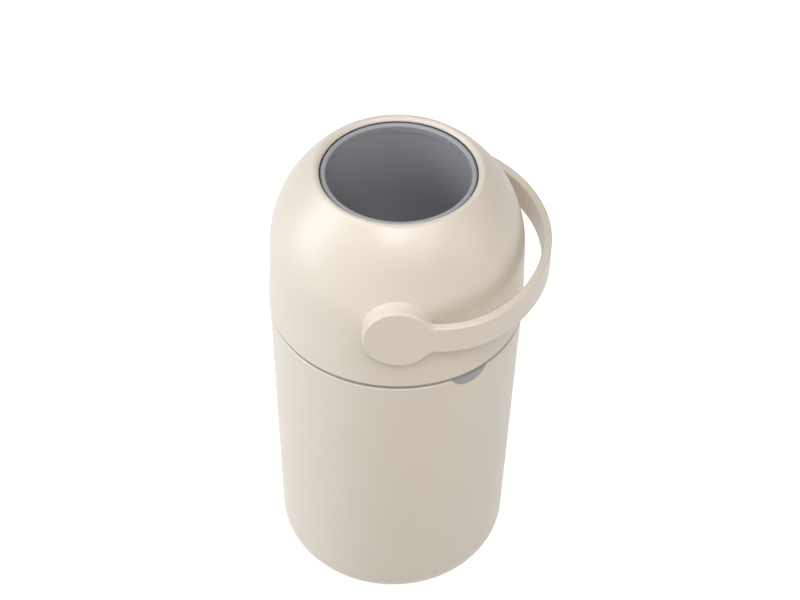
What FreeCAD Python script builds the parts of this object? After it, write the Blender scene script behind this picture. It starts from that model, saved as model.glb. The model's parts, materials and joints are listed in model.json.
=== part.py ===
import FreeCAD, Part
import Sketcher
import math
import os

# Floor pail with a domed head. A hollow ball in the head is turned by the strap handle, and a
# weighted piston slides in the ball's bore. Millimetres, +Z up, origin on the floor under the
# middle. The handle's axis runs along Y. The latch frame is turned about Z: its +X points at the
# release button, and the head's hinge is on its -X side.

DRIVING_SIZES = [
    # Outer shells
    ("seam_radius", 135.0),
    ("seam_height", 357.2),
    ("dome_inset", 2.2),
    ("axis_lift", 76.1),
    ("shell_wall", 3.0),
    ("shell_edge_round", 0.8),
    ("lip_round", 5.0),
    ("lip_width", 14.3),
    ("lip_thickness", 7.3),
    ("boss_height", 3.3),
    ("boss_gap", 0.4),
    # Bucket
    ("rim_inset", 0.8),
    ("bucket_taper", 8.2),
    ("bucket_corner", 41.0),
    ("bucket_wall", 3.0),
    ("bucket_edge_round", 1.4),
    ("seam_band", 5.0),
    ("foot_stand", 1.5),
    ("foot_recess", 1.2),
    ("foot_margin", 9.0),
    ("foot_width", 18.0),
    # Collar ring
    ("band_setback", 1.0),
    ("collar_reach", 23.2),
    ("collar_wall", 2.5),
    ("collar_lip_depth", 18.0),
    ("plug_depth", 14.0),
    ("plug_clearance", 0.8),
    # Turning ball and its bore
    ("ball_gap", 1.1),
    ("ball_skin", 2.5),
    ("rim_width", 3.9),
    ("rim_gap", 1.8),
    ("rim_inner_round", 2.6),
    ("rim_outer_round", 1.2),
    ("bore_radius", 75.1),
    ("tube_wall", 2.2),
    ("bore_lip", 0.9),
    ("bore_lip_depth", 8.5),
    ("ring_flange", 3.0),
    ("saddle_width", 44.0),
    ("saddle_inset", 13.0),
    ("saddle_height", 20.0),
    ("ball_screw_inset", 24.4),
    ("ball_post_radius", 5.5),
    # Handle and its pivots
    ("hub_radius", 36.3),
    ("handle_radius", 160.0),
    ("nose_swell", 14.5),
    ("strap_width", 33.0),
    ("strap_thickness", 9.0),
    ("strap_lead", 1.0),
    ("hub_fillet", 10.0),
    ("strap_edge_round", 2.4),
    ("spigot_side", 12.0),
    ("spigot_length", 20.0),
    ("journal_radius", 11.0),
    ("shank_side", 16.0),
    ("trunnion_flange_radius", 15.0),
    ("trunnion_flange", 4.0),
    ("bush_wall", 3.0),
    ("bush_flange_radius", 18.0),
    ("bush_flange", 2.2),
    ("stop_pin_radius", 2.5),
    ("stop_pin_circle", 27.0),
    ("stop_pin_height", 2.0),
    # Bowl under the ball
    ("bowl_gap", 3.1),
    ("bowl_wall", 2.5),
    ("flange_lift", 3.2),
    ("flange_thickness", 3.0),
    ("flange_clearance", 0.6),
    ("gasket_width", 4.5),
    ("seal_width", 6.0),
    ("seal_clearance", 0.4),
    ("bowl_screw_inset", 14.0),
    ("head_post_radius", 5.0),
    ("head_post_clearance", 1.9),
    ("head_rib", 4.0),
    # Piston
    ("piston_clearance", 0.4),
    ("piston_body", 24.0),
    ("piston_wall", 2.5),
    ("piston_seal", 2.0),
    ("piston_post_radius", 8.0),
    ("weight_thickness", 4.0),
    # Release button and its guide
    ("latch_angle", -55.6),
    ("moon_radius", 25.4),
    ("moon_depth", 12.1),
    ("button_recess", 0.4),
    ("button_plate", 3.0),
    ("button_travel", 3.0),
    ("stem_width", 14.0),
    ("stem_height", 8.0),
    ("stem_lift", 6.2),
    ("hook_inset", 14.2),
    ("hook_thickness", 3.5),
    ("hook_nose", 2.0),
    ("hook_nose_height", 4.5),
    ("guide_wall", 6.6),
    ("guide_plate", 2.0),
    ("spring_radius", 3.0),
    ("spring_bore", 2.3),
    ("spring_pocket", 8.0),
    # Hinge
    ("hinge_offset", 6.0),
    ("hinge_drop", 4.7),
    ("knuckle_radius", 5.5),
    ("pin_radius", 2.0),
    ("pin_head", 1.0),
    ("head_knuckle", 22.0),
    ("base_knuckle", 15.0),
    ("hinge_arm_height", 12.0),
    ("hinge_arm_round", 8.0),
    ("lug_gusset", 22.0),
    # Fasteners and fits
    ("screw_radius", 2.0),
    ("screw_head_radius", 3.8),
    ("screw_head", 2.4),
    ("screw_length", 18.0),
    ("small_screw_radius", 1.4),
    ("small_screw_head_radius", 2.6),
    ("small_screw_head", 1.7),
    ("small_screw_length", 11.0),
    ("handle_screw_radius", 2.5),
    ("handle_screw_head_radius", 4.5),
    ("handle_screw_head", 3.2),
    ("handle_screw_bite", 15.0),
    ("screw_fit", 0.1),
    ("screw_clearance", 0.3),
    ("running_fit", 0.05),
    ("seat_gap", 0.1),
    ("part_gap", 0.3),
]
HEAD_SCREWS = 6
BALL_SCREWS = 4
FULL_TURN = 360.0


class Size:
    """A number together with the spreadsheet expression that it comes from."""

    def __init__(self, number, text):
        self.number = number
        self.text = text

    def __add__(self, other):
        other = as_size(other)
        return Size(self.number + other.number, f"({self.text} + {other.text})")

    def __radd__(self, other):
        return as_size(other) + self

    def __sub__(self, other):
        other = as_size(other)
        return Size(self.number - other.number, f"({self.text} - {other.text})")

    def __rsub__(self, other):
        return as_size(other) - self

    def __mul__(self, other):
        other = as_size(other)
        return Size(self.number * other.number, f"({self.text} * {other.text})")

    def __rmul__(self, other):
        return as_size(other) * self

    def __truediv__(self, other):
        other = as_size(other)
        return Size(self.number / other.number, f"({self.text} / {other.text})")

    def __neg__(self):
        return Size(-self.number, f"(0 - {self.text})")


def as_size(value):
    """Wrap a plain number, so that it can stand beside named sizes."""
    if isinstance(value, Size):
        return value
    return Size(float(value), f"{float(value):.6f}")


def root(size):
    """Square root of a size."""
    return Size(math.sqrt(size.number), f"sqrt({size.text})")


def leg(long_side, short_side):
    """Third side of a right triangle with this longest side."""
    return root(long_side * long_side - short_side * short_side)


doc = FreeCAD.newDocument("pail")
sheet = doc.addObject("Spreadsheet::Sheet", "dims")
size = {}
for row, (alias, number) in enumerate(DRIVING_SIZES, start=1):
    sheet.set(f"A{row}", alias)
    sheet.set(f"B{row}", str(number))
    sheet.setAlias(f"B{row}", alias)
    size[alias] = Size(number, f"dims.{alias}")
doc.recompute()
ZERO = as_size(0.0)
nodes = []


def bind(thing, prop, value):
    """Tie one property to a size."""
    thing.setExpression(prop, as_size(value).text)


def shift(thing, x=ZERO, y=ZERO, z=ZERO):
    """Tie the place of an object to three sizes."""
    bind(thing, "Placement.Base.x", x)
    bind(thing, "Placement.Base.y", y)
    bind(thing, "Placement.Base.z", z)


def turn_about_z(thing, angle):
    """Turn an object about the upright through the origin."""
    thing.Placement = FreeCAD.Placement(FreeCAD.Vector(), FreeCAD.Rotation(FreeCAD.Vector(0, 0, 1), 1.0))
    bind(thing, "Placement.Rotation.Angle", angle)


def box(name, x_range, y_range, z_range):
    """Block between two values on each axis."""
    block = doc.addObject("Part::Box", name)
    bind(block, "Length", x_range[1] - x_range[0])
    bind(block, "Width", y_range[1] - y_range[0])
    bind(block, "Height", z_range[1] - z_range[0])
    shift(block, x_range[0], y_range[0], z_range[0])
    return block


def rod(name, axis, radius, ends, centre=(ZERO, ZERO)):
    """Cylinder along X, Y or Z between two values, centred on its two other coordinates in order."""
    cylinder = doc.addObject("Part::Cylinder", name)
    bind(cylinder, "Radius", radius)
    bind(cylinder, "Height", ends[1] - ends[0])
    if axis == "X":
        turned = FreeCAD.Rotation(FreeCAD.Vector(0, 1, 0), 90)
        spot = (ends[0], centre[0], centre[1])
    elif axis == "Y":
        turned = FreeCAD.Rotation(FreeCAD.Vector(1, 0, 0), -90)
        spot = (centre[0], ends[0], centre[1])
    else:
        turned = FreeCAD.Rotation()
        spot = (centre[0], centre[1], ends[0])
    cylinder.Placement = FreeCAD.Placement(FreeCAD.Vector(), turned)
    shift(cylinder, *spot)
    return cylinder


def ball(name, radius):
    """Sphere about the crossing of the pail's upright and the handle's axis."""
    sphere = doc.addObject("Part::Sphere", name)
    bind(sphere, "Radius", radius)
    shift(sphere, z=axis_z)
    return sphere


def fuse(name, things):
    """Union of several objects."""
    union = doc.addObject("Part::MultiFuse", name)
    union.Shapes = things
    union.Refine = True
    return union


def cut(name, base, tools):
    """Base less one or more tools."""
    difference = doc.addObject("Part::Cut", name)
    difference.Base = base
    difference.Tool = tools[0] if len(tools) == 1 else fuse(f"{name}_tools", tools)
    difference.Refine = True
    return difference


def common(name, first, second):
    """What two objects share."""
    shared = doc.addObject("Part::Common", name)
    shared.Base = first
    shared.Tool = second
    return shared


def group(name, things):
    """Several separate solids in one object."""
    compound = doc.addObject("Part::Compound", name)
    compound.Links = things
    return compound


def node(thing, label):
    """Name an object as a finished piece."""
    thing.Label = label
    nodes.append(thing)
    return thing


def latch_node(thing, label):
    """Name a piece drawn in the latch frame, and turn it into place."""
    turn_about_z(thing, size["latch_angle"])
    return node(thing, label)


def arc_centre(start, end, radius):
    """Centre of an arc of under a half circle, to the left of its chord for a positive radius."""
    chord = FreeCAD.Vector(end[0] - start[0], end[1] - start[1], 0)
    half = chord.Length / 2
    rise = math.sqrt(max(radius * radius - half * half, 0.0))
    left = FreeCAD.Vector(-chord.y, chord.x, 0).normalize()
    middle = FreeCAD.Vector((start[0] + end[0]) / 2, (start[1] + end[1]) / 2, 0)
    return middle + left * (rise if radius > 0 else -rise)


def draw(sketch, outline):
    """Draw a closed outline, each corner tied to two sizes.

    A corner is (across, up) or (across, up, radius), where the radius belongs to the arc from
    this corner to the next: positive turns left along the outline, negative turns right.
    """
    spots = [(corner[0].number, corner[1].number) for corner in outline]
    first_pos = []
    last_pos = []
    for index, corner in enumerate(outline):
        start = spots[index]
        end = spots[(index + 1) % len(spots)]
        if len(corner) == 2:
            sketch.addGeometry(Part.LineSegment(FreeCAD.Vector(*start, 0), FreeCAD.Vector(*end, 0)))
            first_pos.append(1)
            last_pos.append(2)
            continue
        radius = corner[2].number
        centre = arc_centre(start, end, radius)
        low, high = (start, end) if radius > 0 else (end, start)
        low_angle = math.atan2(low[1] - centre.y, low[0] - centre.x)
        high_angle = math.atan2(high[1] - centre.y, high[0] - centre.x)
        if high_angle < low_angle:
            high_angle += 2 * math.pi
        circle = Part.Circle(centre, FreeCAD.Vector(0, 0, 1), abs(radius))
        sketch.addGeometry(Part.ArcOfCircle(circle, low_angle, high_angle))
        first_pos.append(1 if radius > 0 else 2)
        last_pos.append(2 if radius > 0 else 1)
    for index, corner in enumerate(outline):
        following = (index + 1) % len(outline)
        sketch.addConstraint(
            Sketcher.Constraint("Coincident", index, last_pos[index], following, first_pos[following])
        )
    for index, corner in enumerate(outline):
        spot = first_pos[index]
        for kind, value, axis in (("DistanceX", corner[0], -2), ("DistanceY", corner[1], -1)):
            if value is ZERO:
                sketch.addConstraint(Sketcher.Constraint("PointOnObject", index, spot, axis))
                continue
            number = sketch.addConstraint(Sketcher.Constraint(kind, -1, 1, index, spot, value.number))
            sketch.setExpression(f"Constraints[{number}]", value.text)
        if len(corner) == 3:
            radius = corner[2] if corner[2].number > 0 else -corner[2]
            number = sketch.addConstraint(Sketcher.Constraint("Radius", index, radius.number))
            sketch.setExpression(f"Constraints[{number}]", radius.text)


def origin_plane(body, role):
    """One of a body's own origin planes."""
    return [feature for feature in body.Origin.OriginFeatures if feature.Role == role][0]


def sketch_on(body, role, name):
    """Empty sketch on one of a body's own origin planes."""
    sketch = body.newObject("Sketcher::SketchObject", name)
    sketch.AttachmentSupport = [(origin_plane(body, role), "")]
    sketch.MapMode = "FlatFace"
    return sketch


def turned(name, outline):
    """Body of revolution about the upright, from an outline of radius and height."""
    body = doc.addObject("PartDesign::Body", name)
    sketch = sketch_on(body, "XZ_Plane", f"{name}_outline")
    draw(sketch, outline)
    revolution = body.newObject("PartDesign::Revolution", f"{name}_turn")
    revolution.Profile = sketch
    revolution.ReferenceAxis = (sketch, ["V_Axis"])
    revolution.Angle = FULL_TURN
    sketch.Visibility = False
    body.Tip = revolution
    return body


def slab(name, outline, thickness):
    """Body of even thickness about the XZ plane, from an outline in X and Z."""
    body = doc.addObject("PartDesign::Body", name)
    sketch = sketch_on(body, "XZ_Plane", f"{name}_outline")
    draw(sketch, outline)
    pad = body.newObject("PartDesign::Pad", f"{name}_pad")
    pad.Profile = sketch
    pad.SideType = "Symmetric"
    bind(pad, "Length", thickness)
    body.Tip = pad
    return body


def screw(name, radius, head_radius, head, length):
    """Pan-head screw along +Z, with the underside of its head at the origin."""
    shank = rod(f"{name}_shank", "Z", radius, (ZERO, length))
    cap = rod(f"{name}_head", "Z", head_radius, (-head, ZERO))
    return fuse(name, [shank, cap])


def ring_spot(thing, radius, height, angle):
    """Stand an object on a circle about the upright, at an angle in degrees."""
    spoke = Size(math.cos(math.radians(angle.number)), f"cos({angle.text})")
    rise = Size(math.sin(math.radians(angle.number)), f"sin({angle.text})")
    shift(thing, radius * spoke, radius * rise, height)


# Heights and radii that several pieces share
gap = size["part_gap"]
overcut = size["shell_wall"]
axis_z = size["seam_height"] + size["axis_lift"]
dome_radius = size["seam_radius"] - size["dome_inset"]
dome_inside = dome_radius - size["shell_wall"]
bucket_rim = size["seam_radius"] - size["rim_inset"]
bucket_foot = bucket_rim - size["bucket_taper"]
bucket_top = size["seam_height"] - gap - size["seam_band"]
collar_top = bucket_top + size["seam_band"]
flange_bottom = size["seam_height"] + size["flange_lift"]
flange_top = flange_bottom + size["flange_thickness"]
lip_inside = dome_radius - size["lip_thickness"]
ball_radius = lip_inside - size["ball_gap"]
ball_inside = ball_radius - size["ball_skin"]
ball_screw_circle = ball_radius - size["ball_screw_inset"]
rim_radius = size["bore_radius"] + size["rim_width"]
opening_radius = rim_radius + size["rim_gap"]
opening_rise = leg(lip_inside, opening_radius)
rim_rise = leg(ball_radius, rim_radius)
tube_radius = size["bore_radius"] + size["tube_wall"]
bore_lip_radius = size["bore_radius"] - size["bore_lip"]
lip_rise = rim_rise - size["bore_lip_depth"]
boss_face = dome_radius + size["boss_height"]
hub_back = boss_face + size["boss_gap"]
hub_face = hub_back + size["strap_thickness"]
hinge_x = -(size["seam_radius"] + size["hinge_offset"])
hinge_z = size["seam_height"] - size["hinge_drop"]
knuckle_half = size["head_knuckle"] / 2
knuckle_end = knuckle_half + gap + size["base_knuckle"]
stem_half = size["stem_width"] / 2
stem_z = bucket_top - size["moon_depth"] + size["stem_lift"]
stem_bottom = stem_z - size["stem_height"] / 2
hook_radius = bucket_rim - size["hook_inset"]
hook_outer = hook_radius + size["hook_thickness"]
slot_inner = hook_radius - size["button_travel"] - gap
slot_outer = hook_outer + gap
slot_half = stem_half + gap
plug_outer = bucket_rim - size["bucket_wall"] - size["plug_clearance"]
plug_inner = plug_outer - size["collar_wall"]
collar_inner = bucket_rim - size["collar_reach"]
collar_lip_outer = collar_inner + size["collar_wall"]
moon_z = bucket_top - size["moon_depth"] + size["moon_radius"]
moon_half_chord = leg(size["moon_radius"], size["moon_radius"] - size["moon_depth"])
wall_height = bucket_top - size["foot_stand"] - size["bucket_corner"]
wall_slope = (bucket_rim - bucket_foot) / wall_height
button_low = bucket_rim - size["button_recess"] - wall_slope * size["moon_depth"]
button_high = bucket_rim - size["button_recess"] - wall_slope * gap
guide_back = collar_lip_outer + gap
guide_front = guide_back + size["guide_plate"]
guide_half = slot_half + size["guide_wall"]
guide_screw_y = slot_half + size["guide_wall"] / 2
button_back = button_low - size["button_plate"]
guide_end = leg(button_back, guide_half) - size["button_travel"] - gap
guide_screw_x = (guide_back + guide_end) / 2
bush_outer = size["journal_radius"] + size["bush_wall"]
shank_start = tube_radius + size["handle_screw_head"] + size["part_gap"] * 2
saddle_end = ball_radius - size["saddle_inset"]
bowl_inside = ball_radius + size["bowl_gap"]
bowl_screw_circle = size["seam_radius"] - size["bowl_screw_inset"]
foot_ring_outer = bucket_foot - size["bucket_corner"] - size["foot_margin"]
foot_ring_inner = foot_ring_outer - size["foot_width"]


def build_bucket():
    """Tapered bucket with a round foot, hinge knuckles and the cut for the button."""
    rim = bucket_rim
    foot = bucket_foot
    wall = size["bucket_wall"]
    corner = size["bucket_corner"]
    stand = size["foot_stand"]
    edge = size["bucket_edge_round"]
    groove_top = stand + size["foot_recess"]
    groove_inner = foot_ring_inner - gap
    groove_outer = foot_ring_outer + gap
    shell = turned(
        "bucket_shell",
        [
            (ZERO, stand),
            (groove_inner, stand),
            (groove_inner, groove_top),
            (groove_outer, groove_top),
            (groove_outer, stand),
            (foot - corner, stand, corner),
            (foot, stand + corner),
            (rim, bucket_top - edge, edge),
            (rim - edge, bucket_top),
            (rim - wall, bucket_top),
            (foot - wall, stand + corner, -(corner - wall)),
            (foot - corner, stand + wall),
            (ZERO, stand + wall),
        ],
    )
    lug_bottom = hinge_z - size["lug_gusset"]
    inside = rod("bucket_inside", "Z", rim - wall, (lug_bottom - overcut, bucket_top + overcut))
    lugs = cut("bucket_lugs", fuse("bucket_lug_blanks", bucket_lugs(lug_bottom)), [inside])
    body = fuse("bucket_body", [shell, lugs])
    pin_hole = rod(
        "bucket_pin_hole", "Y", size["pin_radius"] + size["running_fit"],
        (-(knuckle_end + overcut), knuckle_end + overcut), (hinge_x, hinge_z),
    )
    moon = rod("bucket_moon", "X", size["moon_radius"], (plug_inner, rim + overcut), (ZERO, moon_z))
    latch_node(cut("bucket_cut", body, [pin_hole, moon]), "bucket")


def bucket_lugs(bottom):
    """Two gusseted hinge knuckles, drawn in the latch frame and left plain inside the wall."""
    knuckle = size["knuckle_radius"]
    web_top = bucket_top - size["bucket_edge_round"]
    root_x = -(bucket_rim - 2 * size["bucket_wall"])
    outline = [
        (hinge_x - knuckle, hinge_z, knuckle),
        (hinge_x, hinge_z - knuckle),
        (root_x, bottom),
        (root_x, web_top),
        (hinge_x + leg(knuckle, web_top - hinge_z), web_top, knuckle),
        (hinge_x, hinge_z + knuckle, knuckle),
    ]
    lugs = []
    for side, offset in (("left", 1), ("right", -1)):
        lug = slab(f"bucket_lug_{side}", outline, size["base_knuckle"])
        shift(lug, y=offset * (knuckle_half + gap + size["base_knuckle"] / 2))
        lugs.append(lug)
    return lugs


def build_foot_ring():
    """Rubber ring let into the bottom of the bucket."""
    inner = foot_ring_inner
    outer = foot_ring_outer
    top = size["foot_stand"] + size["foot_recess"]
    node(turned("foot_ring_body", [(inner, ZERO), (outer, ZERO), (outer, top), (inner, top)]), "foot_ring")


def build_collar():
    """Ring on the bucket's rim: a plug in the bucket, the band at the seam and a lip for the liner."""
    inner = collar_inner
    lip_bottom = bucket_top - size["collar_lip_depth"]
    plug_bottom = bucket_top - size["plug_depth"]
    band = bucket_rim - size["band_setback"]
    ring = turned(
        "collar_body",
        [
            (inner, lip_bottom),
            (collar_lip_outer, lip_bottom),
            (collar_lip_outer, bucket_top),
            (plug_inner, bucket_top),
            (plug_inner, plug_bottom),
            (plug_outer, plug_bottom),
            (plug_outer, bucket_top),
            (band, bucket_top),
            (band, collar_top),
            (inner, collar_top),
        ],
    )
    slot = box(
        "collar_slot", (slot_inner, slot_outer), (-slot_half, slot_half),
        (bucket_top - overcut, collar_top + overcut),
    )
    notch_half = moon_half_chord + size["collar_wall"]
    notch = box(
        "collar_notch", (plug_inner - size["plug_depth"], plug_outer + overcut), (-notch_half, notch_half),
        (plug_bottom - overcut, bucket_top),
    )
    notch_face = rod("collar_notch_limit", "Z", plug_inner - gap, (plug_bottom - overcut, collar_top))
    holes = [
        rod(
            f"collar_hole_{side}", "Z", size["small_screw_radius"] + size["screw_clearance"],
            (bucket_top - overcut, collar_top + overcut), (guide_screw_x, y),
        )
        for side, y in (("left", guide_screw_y), ("right", -guide_screw_y))
    ]
    notch_ring = cut("collar_notch_ring", notch, [notch_face])
    latch_node(cut("collar_cut", ring, [slot, notch_ring] + holes), "collar_ring")


def build_latch():
    """Half-moon button with its hook, the guide that carries it, its spring and two screws."""
    rim = bucket_rim
    plate_bottom = bucket_top - size["moon_depth"]
    plate_top = bucket_top - gap
    plate = size["button_plate"]
    skin = turned(
        "button_skin",
        [
            (button_low - plate, plate_bottom),
            (button_low, plate_bottom),
            (button_high, plate_top),
            (button_high - plate, plate_top),
        ],
    )
    moon_span = (plug_inner - plate, rim + overcut)
    moon = rod("button_moon", "X", size["moon_radius"] - gap, moon_span, (ZERO, moon_z))
    face = common("button_face", skin, moon)
    stem_end = button_low - plate / 2
    stem = box(
        "button_stem", (hook_radius, stem_end), (-stem_half, stem_half),
        (stem_bottom, stem_bottom + size["stem_height"]),
    )
    nose_bottom = flange_top + gap
    nose_top = nose_bottom + size["hook_nose_height"]
    arm = slab(
        "button_arm",
        [
            (hook_radius, stem_bottom),
            (hook_outer, stem_bottom),
            (hook_outer, nose_bottom),
            (hook_outer + size["hook_nose"], nose_bottom),
            (hook_outer, nose_top),
            (hook_radius, nose_top),
        ],
        size["stem_width"],
    )
    pocket_end = hook_radius + size["spring_pocket"]
    pocket = rod(
        "button_pocket", "X", size["spring_radius"] + gap,
        (hook_radius - overcut, pocket_end), (ZERO, stem_z),
    )
    latch_node(cut("button_cut", fuse("button_blank", [face, stem, arm]), [pocket]), "release_button")

    floor_top = stem_bottom - gap
    block = box(
        "guide_block", (guide_back, guide_end), (-guide_half, guide_half),
        (floor_top - size["guide_plate"], bucket_top),
    )
    channel = box(
        "guide_channel", (guide_front, guide_end + overcut), (-slot_half, slot_half),
        (floor_top, bucket_top + overcut),
    )
    screw_bottom = collar_top - size["small_screw_length"]
    holes = []
    screws = []
    for side, y in (("left", guide_screw_y), ("right", -guide_screw_y)):
        holes.append(
            rod(
                f"guide_hole_{side}", "Z", size["small_screw_radius"] + size["screw_fit"],
                (screw_bottom - gap, bucket_top + overcut), (guide_screw_x, y),
            )
        )
        shank = rod(
            f"guide_screw_shank_{side}", "Z", size["small_screw_radius"],
            (screw_bottom, collar_top), (guide_screw_x, y),
        )
        head = rod(
            f"guide_screw_head_{side}", "Z", size["small_screw_head_radius"],
            (collar_top, collar_top + size["small_screw_head"]), (guide_screw_x, y),
        )
        screws.append(fuse(f"guide_screw_{side}", [shank, head]))
    latch_node(cut("guide_cut", block, [channel] + holes), "latch_guide")
    latch_node(group("guide_screw_pair", screws), "guide_screws")

    coil_ends = (guide_front, pocket_end)
    coil = rod("spring_outside", "X", size["spring_radius"], coil_ends, (ZERO, stem_z))
    hollow = rod("spring_inside", "X", size["spring_bore"], coil_ends, (ZERO, stem_z))
    latch_node(cut("spring_cut", coil, [hollow]), "latch_spring")


def dome_outline():
    """Section of the domed shell: skirt, dome, rolled lip and the seat of its seal."""
    wall = size["shell_wall"]
    edge = size["shell_edge_round"]
    seam = size["seam_radius"]
    foot = size["seam_height"]
    outer = dome_radius
    round_reach = outer - size["lip_round"]
    squares = lip_inside * lip_inside + round_reach * round_reach - size["lip_round"] * size["lip_round"]
    swing_cos = squares / (2 * lip_inside * round_reach)
    swing_sin = leg(as_size(1.0), swing_cos)
    across = (opening_radius * swing_cos + opening_rise * swing_sin) / lip_inside
    upward = (opening_rise * swing_cos - opening_radius * swing_sin) / lip_inside
    seat_radius = opening_radius + size["lip_width"]
    seat_rise = leg(lip_inside, seat_radius)
    stretch = dome_inside / lip_inside
    return [
        (seam, foot + edge),
        (outer, axis_z, outer),
        (outer * across, axis_z + outer * upward, size["lip_round"]),
        (opening_radius, axis_z + opening_rise, -lip_inside),
        (seat_radius, axis_z + seat_rise),
        (seat_radius * stretch, axis_z + seat_rise * stretch, -dome_inside),
        (dome_inside, axis_z),
        (seam - wall, foot),
        (seam - edge, foot, edge),
    ]


def build_dome():
    """Domed shell with its pivot bosses, screw posts, stop groove and hinge arm."""
    shell = turned("dome_shell_body", dome_outline())
    boss_blank = rod("dome_boss_blank", "Y", size["hub_radius"], (-boss_face, boss_face), (ZERO, axis_z))
    bosses = cut("dome_bosses", boss_blank, [ball("dome_boss_inside", dome_inside)])
    circle = bowl_screw_circle
    post_reach = leg(ball_radius + size["head_post_clearance"], circle - size["head_post_radius"])
    post_top = axis_z - post_reach
    posts = []
    pilots = []
    for index in range(HEAD_SCREWS):
        angle = size["latch_angle"] + FULL_TURN / HEAD_SCREWS * (index + 0.5)
        post_ends = (flange_top, post_top)
        post = rod(f"dome_post_{index}", "Z", size["head_post_radius"], post_ends, (circle, ZERO))
        rib = box(
            f"dome_rib_{index}", (circle, size["seam_radius"] - size["shell_wall"]),
            (-size["head_rib"] / 2, size["head_rib"] / 2), post_ends,
        )
        carrier = fuse(f"dome_carrier_{index}", [post, rib])
        turn_about_z(carrier, angle)
        posts.append(carrier)
        pilot = rod(
            f"dome_pilot_{index}", "Z", size["screw_radius"] + size["screw_fit"],
            (ZERO, flange_bottom + size["screw_length"] + gap - flange_top + overcut),
        )
        ring_spot(pilot, circle, flange_top - overcut, angle)
        pilots.append(pilot)
    hinge = dome_hinge()
    turn_about_z(hinge, size["latch_angle"])
    reach = boss_face + overcut
    bush_bore = rod("dome_bush_bore", "Y", bush_outer + size["screw_fit"], (-reach, reach), (ZERO, axis_z))
    blank = fuse("dome_blank", [shell, bosses, hinge] + posts)
    node(cut("dome_cut", blank, pilots + [bush_bore, stop_groove()]), "dome_shell")


def dome_hinge():
    """Hinge arm of the head with its knuckle and pin hole, in the latch frame."""
    knuckle = size["knuckle_radius"]
    bend = size["hinge_arm_round"]
    arm_top = size["seam_height"] + size["hinge_arm_height"]
    reach = -(size["seam_radius"] - size["shell_wall"] / 2)
    arm = slab(
        "dome_hinge_arm",
        [
            (hinge_x - knuckle, hinge_z, knuckle),
            (hinge_x, hinge_z - knuckle, knuckle),
            (hinge_x + knuckle, hinge_z),
            (hinge_x + knuckle, size["seam_height"]),
            (reach, size["seam_height"]),
            (reach, arm_top),
            (hinge_x - knuckle + bend, arm_top, bend),
            (hinge_x - knuckle, arm_top - bend),
        ],
        size["head_knuckle"],
    )
    pin_hole = rod(
        "dome_pin_hole", "Y", size["pin_radius"] + size["running_fit"],
        (-knuckle_end, knuckle_end), (hinge_x, hinge_z),
    )
    return cut("dome_hinge", arm, [pin_hole])


def stop_groove():
    """Half-ring groove in the front boss, in which the handle's stop pin runs."""
    half_width = size["stop_pin_radius"] + gap
    depth = size["stop_pin_height"] - size["boss_gap"] + gap
    run = (-(boss_face + overcut), -(boss_face - depth))
    outer = rod("groove_outer", "Y", size["stop_pin_circle"] + half_width, run, (ZERO, axis_z))
    inner = rod("groove_inner", "Y", size["stop_pin_circle"] - half_width, run, (ZERO, axis_z))
    ring = cut("groove_ring", outer, [inner])
    reach = size["stop_pin_circle"] + half_width + gap
    upper = box("groove_upper", (-reach, reach), run, (axis_z - half_width, axis_z + reach))
    return common("groove", ring, upper)


def build_bowl():
    """Lower bowl of the head with its flange, screws, gasket and the two wiping seals."""
    inner = bowl_inside
    outer = inner + size["bowl_wall"]
    flange_edge = size["seam_radius"] - size["shell_wall"] - size["flange_clearance"]
    shell = turned(
        "bowl_body",
        [
            (opening_radius, axis_z - leg(outer, opening_radius), outer),
            (leg(outer, axis_z - flange_bottom), flange_bottom),
            (flange_edge, flange_bottom),
            (flange_edge, flange_top),
            (leg(inner, axis_z - flange_top), flange_top, -inner),
            (opening_radius, axis_z - leg(inner, opening_radius)),
        ],
    )
    slot = box(
        "bowl_slot", (slot_inner, slot_outer), (-slot_half, slot_half),
        (flange_bottom - overcut, flange_top + overcut),
    )
    holes = []
    screws = []
    for index in range(HEAD_SCREWS):
        angle = as_size(FULL_TURN / HEAD_SCREWS * (index + 0.5))
        hole = rod(
            f"bowl_hole_{index}", "Z", size["screw_radius"] + size["screw_clearance"],
            (ZERO, size["flange_thickness"] + 2 * overcut),
        )
        ring_spot(hole, bowl_screw_circle, flange_bottom - overcut, angle)
        holes.append(hole)
        fastener = screw(
            f"bowl_screw_{index}", size["screw_radius"], size["screw_head_radius"],
            size["screw_head"], size["screw_length"],
        )
        ring_spot(fastener, bowl_screw_circle, flange_bottom, angle)
        screws.append(fastener)
    latch_node(cut("bowl_cut", shell, [slot] + holes), "discharge_bowl")
    latch_node(group("bowl_screw_set", screws), "bowl_screws")
    gasket_outer = flange_edge - size["flange_clearance"]
    gasket_inner = gasket_outer - size["gasket_width"]
    node(
        turned(
            "gasket_body",
            [
                (gasket_inner, size["seam_height"]),
                (gasket_outer, size["seam_height"]),
                (gasket_outer, flange_bottom),
                (gasket_inner, flange_bottom),
            ],
        ),
        "rim_gasket",
    )
    wipe = ball_radius + size["seal_clearance"]
    low = opening_radius + size["rim_gap"]
    node(seal_ring("discharge_seal_body", wipe, inner - gap, low, -1), "discharge_seal")
    high = opening_radius + size["lip_width"] + size["seat_gap"]
    node(seal_ring("opening_seal_body", wipe, dome_inside - gap, high, 1), "opening_seal")


def seal_ring(name, inner, outer, start, side):
    """Rubber ring between two spheres about the ball's centre, above it (1) or below it (-1)."""
    end = start + size["seal_width"]
    first = leg(inner, start)
    last = leg(inner, end)
    stretch = outer / inner
    if side > 0:
        outline = [
            (start, axis_z + first, -inner),
            (end, axis_z + last),
            (end * stretch, axis_z + last * stretch, outer),
            (start * stretch, axis_z + first * stretch),
        ]
    else:
        outline = [
            (start, axis_z - first, inner),
            (end, axis_z - last),
            (end * stretch, axis_z - last * stretch, -outer),
            (start * stretch, axis_z - first * stretch),
        ]
    return turned(name, outline)


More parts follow.
